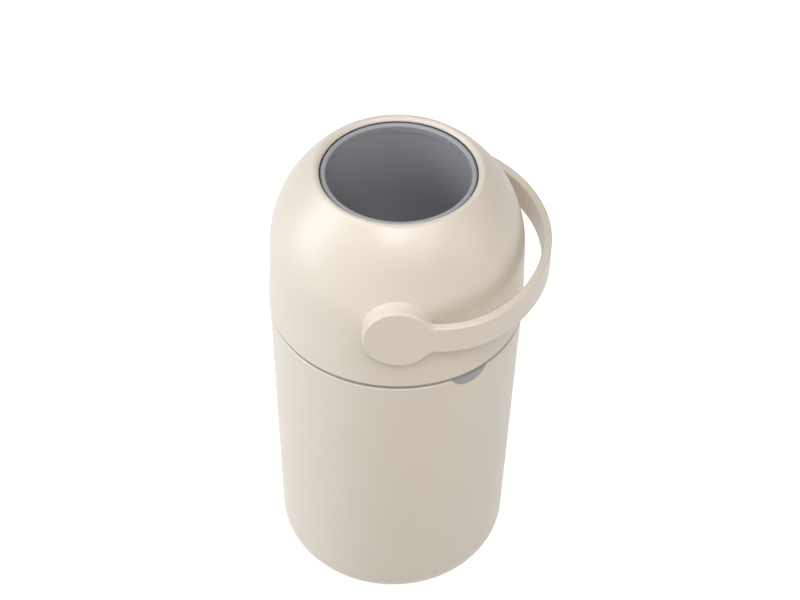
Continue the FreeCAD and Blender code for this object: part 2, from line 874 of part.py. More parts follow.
def sides():
    """The two ends of the handle's axis: a name and the range between two distances along Y."""
    return (
        ("front", lambda near, far: (-far, -near)),
        ("rear", lambda near, far: (near, far)),
    )


def build_pivots():
    """Bush, trunnion and handle screw on each side of the ball."""
    flange_out = leg(dome_inside, size["bush_flange_radius"]) - size["seat_gap"]
    flange_in = flange_out - size["bush_flange"]
    centre = (ZERO, axis_z)
    shank_half = size["shank_side"] / 2
    socket_half = size["spigot_side"] / 2 + size["screw_fit"]
    socket_end = hub_back - size["spigot_length"] - gap
    screws = []
    for side, span in sides():
        sleeve = rod(f"{side}_bush_sleeve", "Y", bush_outer, span(flange_in, boss_face), centre)
        flange_span = span(flange_in, flange_out)
        flange = rod(f"{side}_bush_flange", "Y", size["bush_flange_radius"], flange_span, centre)
        bore = rod(
            f"{side}_bush_bore", "Y", size["journal_radius"] + size["running_fit"],
            span(flange_in - overcut, boss_face + overcut), centre,
        )
        node(cut(f"{side}_bush_cut", fuse(f"{side}_bush_blank", [sleeve, flange]), [bore]), f"{side}_bush")

        shank = box(
            f"{side}_shank", (-shank_half, shank_half), span(shank_start, saddle_end),
            (axis_z - shank_half, axis_z + shank_half),
        )
        collar_span = span(saddle_end, saddle_end + size["trunnion_flange"])
        collar = rod(f"{side}_collar", "Y", size["trunnion_flange_radius"], collar_span, centre)
        journal = rod(f"{side}_journal", "Y", size["journal_radius"], span(saddle_end, hub_back), centre)
        socket = box(
            f"{side}_socket", (-socket_half, socket_half), span(socket_end, hub_back + overcut),
            (axis_z - socket_half, axis_z + socket_half),
        )
        hole = rod(
            f"{side}_trunnion_hole", "Y", size["handle_screw_radius"] + size["screw_clearance"],
            span(shank_start - overcut, hub_back), centre,
        )
        blank = fuse(f"{side}_trunnion_blank", [shank, collar, journal])
        node(cut(f"{side}_trunnion_cut", blank, [socket, hole]), f"{side}_trunnion")

        screw_tip = socket_end + gap + size["handle_screw_bite"]
        shank_span = span(shank_start, screw_tip)
        screw_shank = rod(f"{side}_screw_shank", "Y", size["handle_screw_radius"], shank_span, centre)
        screw_cap = rod(
            f"{side}_screw_head", "Y", size["handle_screw_head_radius"],
            span(shank_start - size["handle_screw_head"], shank_start), centre,
        )
        screws.append(fuse(f"{side}_handle_screw", [screw_shank, screw_cap]))
    node(group("handle_screw_pair", screws), "handle_screws")


def build_hinge_pin():
    """Pin through the three knuckles, with a head at each end."""
    centre = (hinge_x, hinge_z)
    end = knuckle_end + size["seat_gap"]
    tip = end + size["pin_head"]
    head_radius = size["pin_radius"] + size["pin_head"]
    bar = rod("hinge_pin_bar", "Y", size["pin_radius"], (-end, end), centre)
    near = rod("hinge_pin_near", "Y", head_radius, (-tip, -end), centre)
    far = rod("hinge_pin_far", "Y", head_radius, (end, tip), centre)
    latch_node(fuse("hinge_pin_rod", [bar, near, far]), "hinge_pin")


def mirrored_outline(corners, side):
    """Outline from heights over the ball's centre, as drawn (1) or turned over to lie below it (-1)."""
    outline = []
    for corner in corners:
        height = axis_z if corner[1] is ZERO else axis_z + side * corner[1]
        outline.append((corner[0], height) if len(corner) == 2 else (corner[0], height, side * corner[2]))
    return outline


def ring_corners():
    """Section of a rim ring: the piston's stop, the rounded rim and a flange under the ball's skin."""
    edge = size["rim_outer_round"]
    soft = size["rim_inner_round"]
    flange = rim_radius + size["ring_flange"]
    return [
        (bore_lip_radius, lip_rise),
        (bore_lip_radius, rim_rise - soft, -soft),
        (bore_lip_radius + soft, rim_rise),
        (rim_radius - edge, rim_rise, -edge),
        (rim_radius, rim_rise - edge),
        (rim_radius, leg(ball_inside, rim_radius) - size["seat_gap"]),
        (flange, leg(ball_inside, flange) - size["seat_gap"]),
        (flange, lip_rise),
    ]


def skin_corners():
    """Section of one half of the ball's skin, open round the rim ring."""
    hole = rim_radius + size["seat_gap"]
    return [
        (hole, leg(ball_inside, hole)),
        (hole, leg(ball_radius, hole), -ball_radius),
        (ball_radius, ZERO),
        (ball_inside, ZERO, ball_inside),
    ]


def build_ball():
    """The bore sleeve, and for each half of the ball its skin and rim ring, with the screws between."""
    sleeve_end = lip_rise - size["seat_gap"]
    sleeve = [
        (size["bore_radius"], axis_z - sleeve_end),
        (tube_radius, axis_z - sleeve_end),
        (tube_radius, axis_z + sleeve_end),
        (size["bore_radius"], axis_z + sleeve_end),
    ]
    node(turned("bore_sleeve_body", sleeve), "bore_sleeve")
    half_width = size["saddle_width"] / 2
    shank_half = size["shank_side"] / 2 + size["screw_fit"]
    flange_end = saddle_end + size["trunnion_flange"] + gap
    screws = []
    for label, side in (("upper", 1), ("lower", -1)):
        name = f"drum_{label}"

        def rise(near, far):
            return (axis_z + near, axis_z + far) if side > 0 else (axis_z - far, axis_z - near)

        ring = turned(f"rim_ring_{label}_body", mirrored_outline(ring_corners(), side))
        node(ring, f"rim_ring_{label}")
        solids = [turned(f"{name}_body", mirrored_outline(skin_corners(), side))]
        tools = []
        for end, span in sides():
            saddle = box(
                f"{name}_saddle_{end}", (-half_width, half_width),
                span(tube_radius + gap, ball_radius), rise(ZERO, size["saddle_height"]),
            )
            limit = ball(f"{name}_saddle_limit_{end}", ball_radius - size["ball_skin"] / 2)
            solids.append(common(f"{name}_saddle_block_{end}", saddle, limit))
            tools.append(
                box(
                    f"{name}_shank_seat_{end}", (-shank_half, shank_half),
                    span(tube_radius, saddle_end + overcut),
                    (axis_z - shank_half, axis_z + shank_half),
                )
            )
            tools.append(
                rod(
                    f"{name}_flange_seat_{end}", "Y", size["trunnion_flange_radius"] + gap,
                    span(saddle_end, flange_end), (ZERO, axis_z),
                )
            )
            tools.append(
                rod(
                    f"{name}_journal_seat_{end}", "Y", size["journal_radius"] + gap,
                    span(saddle_end, ball_radius + overcut), (ZERO, axis_z),
                )
            )
        for index in range(BALL_SCREWS):
            angle = as_size(FULL_TURN / BALL_SCREWS * (index + 0.5))
            post_height = leg(ball_inside, ball_screw_circle + size["ball_post_radius"])
            post_height = post_height + size["ball_skin"] / 2
            post = rod(f"{name}_post_{index}", "Z", size["ball_post_radius"], (ZERO, post_height))
            ring_spot(post, ball_screw_circle, rise(ZERO, post_height)[0], angle)
            solids.append(post)
            half_length = size["screw_length"] / 2
            reach = half_length + gap if side > 0 else ball_radius
            fit = size["screw_fit"] if side > 0 else size["screw_clearance"]
            hole = rod(f"{name}_hole_{index}", "Z", size["screw_radius"] + fit, (ZERO, reach))
            ring_spot(hole, ball_screw_circle, rise(ZERO, reach)[0], angle)
            tools.append(hole)
            if side < 0:
                well_depth = ball_radius - half_length
                well = rod(f"{name}_well_{index}", "Z", size["screw_head_radius"] + gap, (ZERO, well_depth))
                ring_spot(well, ball_screw_circle, axis_z - ball_radius, angle)
                tools.append(well)
                fastener = screw(
                    f"drum_screw_{index}", size["screw_radius"], size["screw_head_radius"],
                    size["screw_head"], size["screw_length"],
                )
                ring_spot(fastener, ball_screw_circle, axis_z - half_length, angle)
                screws.append(fastener)
        node(cut(f"{name}_cut", fuse(f"{name}_blank", solids), tools), f"drum_half_{label}")
    node(group("drum_screw_set", screws), "drum_screws")


def build_handle():
    """Strap handle with its two hub discs, square spigots and the stop pin."""
    face = hub_face
    thick = size["strap_thickness"]
    reach = size["handle_radius"]
    half = size["strap_width"] / 2
    disc = size["hub_radius"]
    fillet = size["hub_fillet"]
    fillet_x = leg(disc + fillet, half + fillet)
    straight = fillet_x + size["strap_lead"]
    nose = face + size["nose_swell"]
    nose_x = reach - nose
    run = straight - nose_x
    bend = (nose * nose - run * run - face * face) / (2 * size["nose_swell"])
    drop = face - bend
    grow = nose / (nose - bend)
    grow_inner = (nose - thick) / (nose - bend)
    body = doc.addObject("PartDesign::Body", "handle_body")
    shift(body, z=axis_z)
    plan = sketch_on(body, "XY_Plane", "handle_plan")
    draw(
        plan,
        [
            (ZERO, face - thick),
            (straight, face - thick, -(bend - thick)),
            (nose_x + run * grow_inner, drop * grow_inner, -(nose - thick)),
            (reach - thick, ZERO),
            (reach, ZERO, nose),
            (nose_x + run * grow, drop * grow, bend),
            (straight, face),
            (ZERO, face),
        ],
    )
    strap = body.newObject("PartDesign::Pad", "handle_strap")
    strap.Profile = plan
    strap.SideType = "Symmetric"
    bind(strap, "Length", size["strap_width"])
    keyhole = sketch_on(body, "XZ_Plane", "handle_keyhole")
    bind(keyhole, "AttachmentOffset.Base.z", -face)
    pull = disc / (disc + fillet)
    draw(
        keyhole,
        [
            (straight, -half),
            (straight, half),
            (fillet_x, half, -fillet),
            (fillet_x * pull, (half + fillet) * pull, disc),
            (-disc, ZERO, disc),
            (fillet_x * pull, -(half + fillet) * pull, -fillet),
            (fillet_x, -half),
        ],
    )
    hub = body.newObject("PartDesign::Pad", "handle_hub")
    hub.Profile = keyhole
    bind(hub, "Length", thick)
    doc.recompute()
    mirror = body.newObject("PartDesign::Mirrored", "handle_mirror")
    mirror.Originals = [strap, hub]
    mirror.MirrorPlane = (origin_plane(body, "XZ_Plane"), [""])
    body.Tip = mirror
    doc.recompute()
    rounded = body.newObject("PartDesign::Fillet", "handle_rounding")
    rounded.Base = (mirror, long_edges(mirror.Shape))
    bind(rounded, "Radius", size["strap_edge_round"])
    body.Tip = rounded
    spigot_half = size["spigot_side"] / 2
    solids = [body]
    pilots = []
    for side, span in sides():
        solids.append(
            box(
                f"{side}_spigot", (-spigot_half, spigot_half),
                span(hub_back - size["spigot_length"], hub_back + thick / 2),
                (axis_z - spigot_half, axis_z + spigot_half),
            )
        )
        tip = hub_back - size["spigot_length"] + size["handle_screw_bite"] + gap
        pilots.append(
            rod(
                f"{side}_pilot", "Y", size["handle_screw_radius"] + size["screw_fit"],
                span(hub_back - size["spigot_length"] - overcut, tip), (ZERO, axis_z),
            )
        )
    pin_end = hub_back - size["stop_pin_height"]
    solids.append(
        rod(
            "stop_pin", "Y", size["stop_pin_radius"], (-(hub_back + thick / 2), -pin_end),
            (size["stop_pin_circle"], axis_z),
        )
    )
    node(cut("handle_cut", fuse("handle_blank", solids), pilots), "handle")


def long_edges(shape):
    """Names of the edges that run along the strap and round the hubs, not across the strap."""
    names = []
    for index, edge in enumerate(shape.Edges, start=1):
        box_size = edge.BoundBox
        flat = box_size.ZLength < 0.001
        round_hub = box_size.YLength < 0.001 and edge.Curve.TypeId != "Part::GeomLine"
        across = flat and abs(box_size.XLength) < 0.001
        in_seam = box_size.YMax - box_size.YMin < 0.001 and abs(box_size.YMax) < 0.001
        if (flat or round_hub) and not across and not in_seam:
            names.append(f"Edge{index}")
    return names


def build_piston():
    """Piston of two cups with a steel disc between them and a seal on each shoulder."""
    radius = size["bore_radius"] - size["piston_clearance"]
    end = bore_lip_radius - size["piston_clearance"]
    wall = size["piston_wall"]
    post = size["piston_post_radius"]
    seal = size["piston_seal"]
    foot = axis_z - rim_rise + gap
    rest = axis_z - lip_rise + gap
    shoulder = rest + seal
    middle = shoulder + size["piston_body"] / 2
    half_weight = size["weight_thickness"] / 2
    cup = [
        (post, half_weight),
        (post, middle - foot - wall),
        (end - wall, middle - foot - wall),
        (end - wall, middle - shoulder - wall),
        (radius - wall, middle - shoulder - wall),
        (radius - wall, ZERO),
        (radius, ZERO),
        (radius, middle - shoulder),
        (end, middle - shoulder),
        (end, middle - foot),
    ]
    for label, sign in (("upper", 1), ("lower", -1)):
        outline = [(ZERO, middle + sign * half_weight)]
        outline += [(across, middle + sign * rise) for across, rise in cup]
        outline.append((ZERO, middle + sign * (middle - foot)))
        node(turned(f"piston_{label}_body", outline), f"piston_cup_{label}")
        near = middle + sign * (middle - shoulder)
        far = near + sign * seal
        bottom, top = (near, far) if sign > 0 else (far, near)
        inside = end + size["seat_gap"]
        section = [(inside, bottom), (radius, bottom), (radius, top), (inside, top)]
        node(turned(f"piston_seal_{label}_body", section), f"piston_seal_{label}")
    disc = radius - wall - size["seat_gap"]
    node(
        turned(
            "weight_body",
            [
                (ZERO, middle - half_weight),
                (disc, middle - half_weight),
                (disc, middle + half_weight),
                (ZERO, middle + half_weight),
            ],
        ),
        "piston_weight",
    )


def finish():
    """Recompute, refuse any failed object, and write one STEP file per piece."""
    doc.recompute()
    for thing in doc.Objects:
        if "Invalid" in thing.State or "Error" in thing.State:
            raise RuntimeError(f"{thing.Name} failed: {thing.State}")
    for piece in nodes:
        if piece.Shape.isNull() or not piece.Shape.isValid():
            raise RuntimeError(f"{piece.Label} has no valid shape")
    os.makedirs("parts", exist_ok=True)
    for piece in nodes:
        piece.Shape.exportStep(f"parts/{piece.Label}.step")
        count = len(piece.Shape.Solids)
        print(f"{piece.Label}: {count} solids, {piece.Shape.Volume / 1000:.2f} cm3")


build_bucket()
build_foot_ring()
build_collar()
build_latch()
build_dome()
build_bowl()
build_pivots()
build_hinge_pin()
build_ball()
build_handle()
build_piston()
finish()
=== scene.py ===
"""Looks of a floor pail: a cream bucket and domed head, a strap handle and a grey turning ball."""

import json
import logging
import math
from collections.abc import Callable
from dataclasses import dataclass
from enum import Enum

import bpy
from mathutils import Matrix, Vector


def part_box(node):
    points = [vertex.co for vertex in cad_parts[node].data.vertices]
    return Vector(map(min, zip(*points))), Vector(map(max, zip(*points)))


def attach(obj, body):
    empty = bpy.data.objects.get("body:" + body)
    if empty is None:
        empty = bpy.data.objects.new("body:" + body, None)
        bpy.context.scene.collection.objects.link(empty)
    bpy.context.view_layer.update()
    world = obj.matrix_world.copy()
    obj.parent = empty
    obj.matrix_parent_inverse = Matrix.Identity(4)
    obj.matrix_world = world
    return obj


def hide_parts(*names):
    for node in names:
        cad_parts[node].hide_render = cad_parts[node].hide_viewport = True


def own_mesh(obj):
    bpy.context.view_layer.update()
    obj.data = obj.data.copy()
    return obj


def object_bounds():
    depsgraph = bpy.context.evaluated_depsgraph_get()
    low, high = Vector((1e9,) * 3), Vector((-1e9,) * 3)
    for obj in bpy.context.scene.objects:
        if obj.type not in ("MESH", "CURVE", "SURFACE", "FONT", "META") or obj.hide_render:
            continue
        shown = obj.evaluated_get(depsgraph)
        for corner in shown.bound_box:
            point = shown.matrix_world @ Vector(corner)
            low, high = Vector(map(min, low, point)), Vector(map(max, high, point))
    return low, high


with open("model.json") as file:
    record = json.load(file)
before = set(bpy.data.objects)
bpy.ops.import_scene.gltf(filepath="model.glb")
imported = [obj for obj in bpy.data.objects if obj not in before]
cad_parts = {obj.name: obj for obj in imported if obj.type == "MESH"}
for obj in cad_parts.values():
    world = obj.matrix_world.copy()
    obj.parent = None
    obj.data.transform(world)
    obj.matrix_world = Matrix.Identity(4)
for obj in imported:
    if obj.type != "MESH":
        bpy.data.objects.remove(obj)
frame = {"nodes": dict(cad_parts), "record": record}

# Lengths are in metres, and angles that a class holds are in degrees.
CAD_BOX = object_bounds()
LOG = logging.getLogger("pail")
MILLIMETRE = 0.001
WELD = 0.000001
FULL_TURN = 2 * math.pi
UPRIGHT = Vector((0, 0, 1))
HANDLE_SIDES = (Vector((0, -1, 0)), Vector((0, 1, 0)))
UPPER_AND_LOWER = (("upper", 1), ("lower", -1))
RING_STEPS = 144
HELIX_STEPS = 24
SCREW_STEPS = 32
CROWN_STEPS = 5
EDGE_STEPS = 5
BEAD_STEPS = 6
WIRE_STEPS = 10
BEVEL_SEGMENTS = 2
SHARP_DEGREES = 35.0
FLAT_NORMAL = 0.9
WHITE = (1.0, 1.0, 1.0, 1.0)

Section = list[tuple[float, float]]
Triple = tuple[float, float, float]
Piece = bpy.types.Object
Face = bpy.types.MeshPolygon
Material = bpy.types.Material
Socket = bpy.types.NodeSocket


class Body(str, Enum):
    """The rigid bodies that the new pieces ride on."""

    BASE = "base"
    HEAD = "head"
    DRUM = "drum"
    PISTON = "piston"


class Slot(str, Enum):
    """The record's material slots."""

    SHELL = "cream_shell"
    GREY = "grey_plastic"
    INNER = "inner_plastic"
    PIVOT = "pivot_plastic"
    RUBBER = "black_rubber"
    STEEL = "steel"


class Joint(str, Enum):
    """The joints that pieces take their place from."""

    HINGE = "head_hinge"
    TURN = "drum_turn"
    PRESS = "button_press"


def joint_row(joint: Joint) -> dict:
    """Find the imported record's row of a joint."""
    rows = frame["record"]["behaviour"]["joints"]
    return next(row for row in rows if row["name"] == joint.value)


def arc(centre: tuple[float, float], radius: float, start: float, end: float, steps: int) -> Section:
    """Points along an arc of a section.

    Args:
        centre: Middle of the circle, across and up.
        radius: Radius of the circle.
        start: First angle in degrees, counted from across towards up.
        end: Last angle in degrees.
        steps: Count of straight runs.

    Returns:
        The points, both ends included.
    """
    angles = [math.radians(start + (end - start) * step / steps) for step in range(steps + 1)]
    return [(centre[0] + radius * math.cos(angle), centre[1] + radius * math.sin(angle)) for angle in angles]


def crown_angles() -> list[float]:
    """Angles of the steps over a domed head, from 0 to a quarter turn."""
    return [math.pi / 2 * step / CROWN_STEPS for step in range(CROWN_STEPS + 1)]


def at_level(section: Section, middle: float, side: int) -> Section:
    """Set a section of radius and rise over a middle height, or under it where side is -1."""
    return [(radius, middle + side * rise) for radius, rise in section]


def select_only(piece: Piece) -> None:
    """Select one piece alone and make it the active one.

    Args:
        piece: The piece.
    """
    bpy.ops.object.select_all(action="DESELECT")
    piece.select_set(True)
    bpy.context.view_layer.objects.active = piece


def discard(piece: Piece) -> None:
    """Delete a piece that was only a tool or a pattern."""
    select_only(piece)
    bpy.ops.object.delete()


def select_faces(piece: Piece, wanted: Callable[[Face], bool]) -> None:
    """Select some faces of a piece, and stay in edit mode.

    Args:
        piece: The active piece, in object mode.
        wanted: Says of a face whether it is selected.
    """
    bpy.ops.object.mode_set(mode="EDIT")
    bpy.ops.mesh.select_mode(type="FACE")
    bpy.ops.mesh.select_all(action="DESELECT")
    bpy.ops.object.mode_set(mode="OBJECT")
    for face in piece.data.polygons:
        face.select = wanted(face)
    bpy.ops.object.mode_set(mode="EDIT")


def draw_section(name: str, section: Section, closed: bool) -> Piece:
    """Start a piece as the line of a section, and stay in edit mode.

    Args:
        name: Name of the piece.
        section: Radius and height of each corner.
        closed: Whether the line goes back to its first corner.

    Returns:
        The new piece.
    """
    points = [Vector((radius, 0, height)) for radius, height in section]
    if closed:
        points.append(points[0])
    bpy.ops.object.select_all(action="DESELECT")
    bpy.ops.mesh.primitive_plane_add(size=MILLIMETRE, location=(0, 0, 0))
    piece = bpy.context.object
    piece.name = name
    piece.data.name = name
    bpy.ops.object.mode_set(mode="EDIT")
    bpy.ops.mesh.select_mode(type="VERT")
    bpy.ops.mesh.select_all(action="SELECT")
    bpy.ops.mesh.merge(type="CENTER")
    bpy.ops.transform.translate(value=points[0])
    for near, far in zip(points, points[1:]):
        bpy.ops.mesh.extrude_region_move(TRANSFORM_OT_translate={"value": far - near})
    return piece


def merge_doubles() -> None:
    """Select all of the piece and merge its double points, in edit mode."""
    bpy.ops.mesh.select_all(action="SELECT")
    bpy.ops.mesh.remove_doubles(threshold=WELD)


def cap_ends(section: Section) -> None:
    """Merge double points and close the two ends of a swept section, in edit mode."""
    merge_doubles()
    bpy.ops.mesh.fill_holes(sides=len(section))


def weld() -> None:
    """Merge double points and turn the faces outwards, in edit mode, then leave edit mode."""
    merge_doubles()
    bpy.ops.mesh.normals_make_consistent(inside=False)
    bpy.ops.object.mode_set(mode="OBJECT")


def turn_section(
    name: str, section: Section, steps: int, ring: bool = False, angle: float = FULL_TURN
) -> Piece:
    """Turn a section about the upright, as on a lathe.

    Args:
        name: Name of the piece.
        section: Radius and height of each corner.
        steps: Count of faces round the piece.
        ring: Whether the section closes on itself, or else ends on the axis.
        angle: How far the section is turned, with closed ends where that is less than a full turn.

    Returns:
        The turned piece.
    """
    piece = draw_section(name, section, closed=ring)
    bpy.ops.mesh.select_all(action="SELECT")
    bpy.ops.mesh.spin(steps=steps, angle=angle, center=(0, 0, 0), axis=UPRIGHT)
    if angle < FULL_TURN:
        cap_ends(section)
    weld()
    return piece


def wind_section(name: str, section: Section, pitch: float, turns: float) -> Piece:
    """Wind a closed section up the upright into a helix with closed ends.

    Args:
        name: Name of the piece.
        section: Radius and height of each corner.
        pitch: Climb of one turn.
        turns: Count of turns.

    Returns:
        The wound piece.
    """
    piece = draw_section(name, section, closed=True)
    weld()
    bpy.ops.object.modifier_add(type="SCREW")
    helix = piece.modifiers[-1]
    helix.axis = "Z"
    helix.angle = FULL_TURN * turns
    helix.screw_offset = pitch * turns
    helix.steps = round(HELIX_STEPS * turns)
    helix.render_steps = helix.steps
    bpy.ops.object.modifier_apply(modifier=helix.name)
    bpy.ops.object.mode_set(mode="EDIT")
    cap_ends(section)
    weld()
    return piece


def round_edges(piece: Piece, width: float) -> None:
    """Round the sharp edges of a piece.

    Args:
        piece: The piece.
        width: Width of the rounding.
    """
    select_only(piece)
    bpy.ops.object.modifier_add(type="BEVEL")
    bevel = piece.modifiers[-1]
    bevel.width = width
    bevel.segments = BEVEL_SEGMENTS
    bevel.limit_method = "ANGLE"
    bevel.angle_limit = math.radians(SHARP_DEGREES)
    bpy.ops.object.modifier_apply(modifier=bevel.name)


def cut_away(piece: Piece, tool: Piece) -> None:
    """Cut a tool's shape out of a piece and clear the tool away.

    Args:
        piece: The piece that is cut.
        tool: The shape that is taken out of it.
    """
    select_only(piece)
    bpy.ops.object.modifier_add(type="BOOLEAN")
    cut = piece.modifiers[-1]
    cut.operation = "DIFFERENCE"
    cut.solver = "EXACT"
    cut.object = tool
    bpy.ops.object.modifier_apply(modifier=cut.name)
    discard(tool)


def place(piece: Piece, matrix: Matrix) -> Piece:
    """Move a piece to its place and put the place into its mesh.

    Args:
        piece: The piece, modelled about the origin.
        matrix: Where it goes.

    Returns:
        The same piece.
    """
    select_only(piece)
    piece.matrix_world = matrix
    bpy.ops.object.transform_apply(location=True, rotation=True, scale=True)
    return piece


def copy_to(piece: Piece, matrix: Matrix) -> Piece:
    """Copy a piece, with a mesh of its own, to a place.

    Args:
        piece: The piece, modelled about the origin.
        matrix: Where the copy goes.

    Returns:
        The copy.
    """
    select_only(piece)
    bpy.ops.object.duplicate(linked=False)
    return place(bpy.context.object, matrix)


def join(name: str, pieces: list[Piece]) -> Piece:
    """Join pieces into one object.

    Args:
        name: Name of the joined piece.
        pieces: The pieces, of which the first takes in the rest.

    Returns:
        The joined piece.
    """
    bpy.ops.object.select_all(action="DESELECT")
    for piece in pieces:
        piece.select_set(True)
    bpy.context.view_layer.objects.active = pieces[0]
    bpy.ops.object.join()
    pieces[0].name = name
    pieces[0].data.name = name
    return pieces[0]


def repeat(pattern: Piece, name: str, places: list[Matrix]) -> Piece:
    """Set a copy of a pattern at each place, as one piece, and clear the pattern away.

    Args:
        pattern: The piece, modelled about the origin.
        name: Name of the joined copies.
        places: Where the copies go.

    Returns:
        The joined copies.
    """
    copies = [copy_to(pattern, matrix) for matrix in places]
    discard(pattern)
    return join(name, copies)


def along(direction: Vector, spot: Vector) -> Matrix:
    """Place that turns the upright to a direction and moves the origin to a spot."""
    turned = UPRIGHT.rotation_difference(direction.normalized()).to_matrix().to_4x4()
    return Matrix.Translation(spot) @ turned


def set_pair(pattern: Piece, name: str, reach: float) -> Piece:
    """Set a pattern on the handle's axis, one copy on each side at a reach from the middle of the ball."""
    centre = Vector(joint_row(Joint.TURN)["pos_m"])
    return repeat(pattern, name, [along(side, centre + side * reach) for side in HANDLE_SIDES])


def set_circle(
    pattern: Piece, name: str, radius: float, height: float, count: int, first: float = 0.0
) -> Piece:
    """Set copies of a pattern evenly round the pail's upright.

    Args:
        pattern: The piece, modelled about the origin.
        name: Name of the finished set.
        radius: Radius of the circle.
        height: Height of the circle.
        count: Count of copies.
        first: Angle in degrees half a step before the first copy.

    Returns:
        The set as one piece.
    """
    places = []
    for index in range(count):
        angle = math.radians(first + 360.0 * (index + 0.5) / count)
        spot = Vector((radius * math.cos(angle), radius * math.sin(angle), height))
        places.append(Matrix.Translation(spot))
    return repeat(pattern, name, places)


class NodeSheet:
    """Node tree of one material, with short calls to add and join its nodes."""

    noise_low = 0.3
    noise_high = 0.7
    mix_first = 6
    mix_second = 7
    mix_result = 2

    def __init__(self, name: str) -> None:
        """Start a material that holds one principled shader.

        Args:
            name: Name of the new material.
        """
        self.material = bpy.data.materials.new(name)
        self.material.use_nodes = True
        self.nodes = self.material.node_tree.nodes
        self.links = self.material.node_tree.links
        self.shader = self.nodes["Principled BSDF"]
        self.place = self.add("ShaderNodeTexCoord").outputs["Object"]

    def add(self, kind: str, **settings: object) -> bpy.types.Node:
        """Add a node and set its properties.

        Args:
            kind: Blender's name of the node's class.
            settings: Properties of the node.

        Returns:
            The new node.
        """
        node = self.nodes.new(kind)
        for key, value in settings.items():
            setattr(node, key, value)
        return node

    def join(self, output: Socket, target: Socket) -> None:
        """Join an output to an input."""
        self.links.new(output, target)

    def noise(self, cell: float, detail: float, stretch: Triple = (1, 1, 1)) -> Socket:
        """Add a noise on the piece's own coordinates.

        Args:
            cell: Size of one blotch in metres.
            detail: Octaves of finer noise.
            stretch: Factor on each axis before the noise is read.

        Returns:
            The noise, 0 to 1.
        """
        mapping = self.add("ShaderNodeMapping")
        mapping.inputs["Scale"].default_value = stretch
        self.join(self.place, mapping.inputs["Vector"])
        noise = self.add("ShaderNodeTexNoise")
        noise.inputs["Scale"].default_value = 1.0 / cell
        noise.inputs["Detail"].default_value = detail
        self.join(mapping.outputs["Vector"], noise.inputs["Vector"])
        return noise.outputs["Fac"]

    def ramp(self, factor: Socket, low: float, high: float) -> Socket:
        """Map a noise of 0 to 1 on to a range.

        Args:
            factor: Output that is read.
            low: Value at the noise's dark end.
            high: Value at its light end.

        Returns:
            The output that holds the range.
        """
        mapped = self.add("ShaderNodeMapRange")
        mapped.inputs["From Min"].default_value = self.noise_low
        mapped.inputs["From Max"].default_value = self.noise_high
        mapped.inputs["To Min"].default_value = low
        mapped.inputs["To Max"].default_value = high
        self.join(factor, mapped.inputs["Value"])
        return mapped.outputs["Result"]

    def blend(self, factor: Socket, first: Triple, second: Triple) -> Socket:
        """Mix two colours by a factor.

        Args:
            factor: Output that steers the mix.
            first: Colour at 0.
            second: Colour at 1.

        Returns:
            The mixed colour.
        """
        mix = self.add("ShaderNodeMix", data_type="RGBA")
        mix.inputs[self.mix_first].default_value = (*first, 1.0)
        mix.inputs[self.mix_second].default_value = (*second, 1.0)
        self.join(factor, mix.inputs[0])
        return mix.outputs[self.mix_result]

    def bump(self, height: Socket, depth: float) -> None:
        """Roughen the surface.

        Args:
            height: Output that holds the height, 0 to 1.
            depth: Height of the relief in metres.
        """
        bump = self.add("ShaderNodeBump")
        bump.inputs["Strength"].default_value = 1.0
        bump.inputs["Distance"].default_value = depth
        self.join(height, bump.inputs["Height"])
        self.join(bump.outputs["Normal"], self.shader.inputs["Normal"])


def shade(colour: Triple, factor: float) -> Triple:
    """Lighten or darken a colour by a factor."""
    return tuple(min(channel * factor, 1.0) for channel in colour)


@dataclass(frozen=True)
class MouldedPlastic:
    """Injection-moulded plastic with a fine spark-eroded grain and faint flow clouds.

    Args:
        name: Name of the material.
        colour: Linear base colour.
        roughness: Middle of its gloss.
        specular: Strength of its reflections.
        gloss_spread: How far the gloss drifts to either side of its middle.
        grain: Size of the grain in metres.
        grain_detail: Octaves of finer grain.
        relief: Depth of the grain in metres.
        cloud: Share by which the colour drifts across the piece.
        cloud_size: Size of that drift in metres.
        cloud_detail: Octaves of finer drift.
        cloud_stretch: Factor on each axis of the drift.
    """

    name: str
    colour: Triple
    roughness: float
    specular: float = 0.4
    gloss_spread: float = 0.05
    grain: float = 0.0006
    grain_detail: float = 1.5
    relief: float = 0.000012
    cloud: float = 0.02
    cloud_size: float = 0.12
    cloud_detail: float = 2.0
    cloud_stretch: Triple = (1.0, 1.0, 0.45)

    def build(self) -> Material:
        """Make the material.

        Returns:
            The finished material.
        """
        sheet = NodeSheet(self.name)
        sheet.join(self.tint(sheet), sheet.shader.inputs["Base Color"])
        grain = sheet.noise(self.grain, self.grain_detail)
        gloss = sheet.ramp(grain, self.roughness - self.gloss_spread, self.roughness + self.gloss_spread)
        sheet.join(gloss, sheet.shader.inputs["Roughness"])
        sheet.shader.inputs["Specular IOR Level"].default_value = self.specular
        sheet.bump(grain, self.relief)
        return sheet.material

    def tint(self, sheet: NodeSheet) -> Socket:
        """Let the colour drift in clouds."""
        clouds = sheet.noise(self.cloud_size, self.cloud_detail, self.cloud_stretch)
        return sheet.blend(clouds, shade(self.colour, 1 - self.cloud), shade(self.colour, 1 + self.cloud))


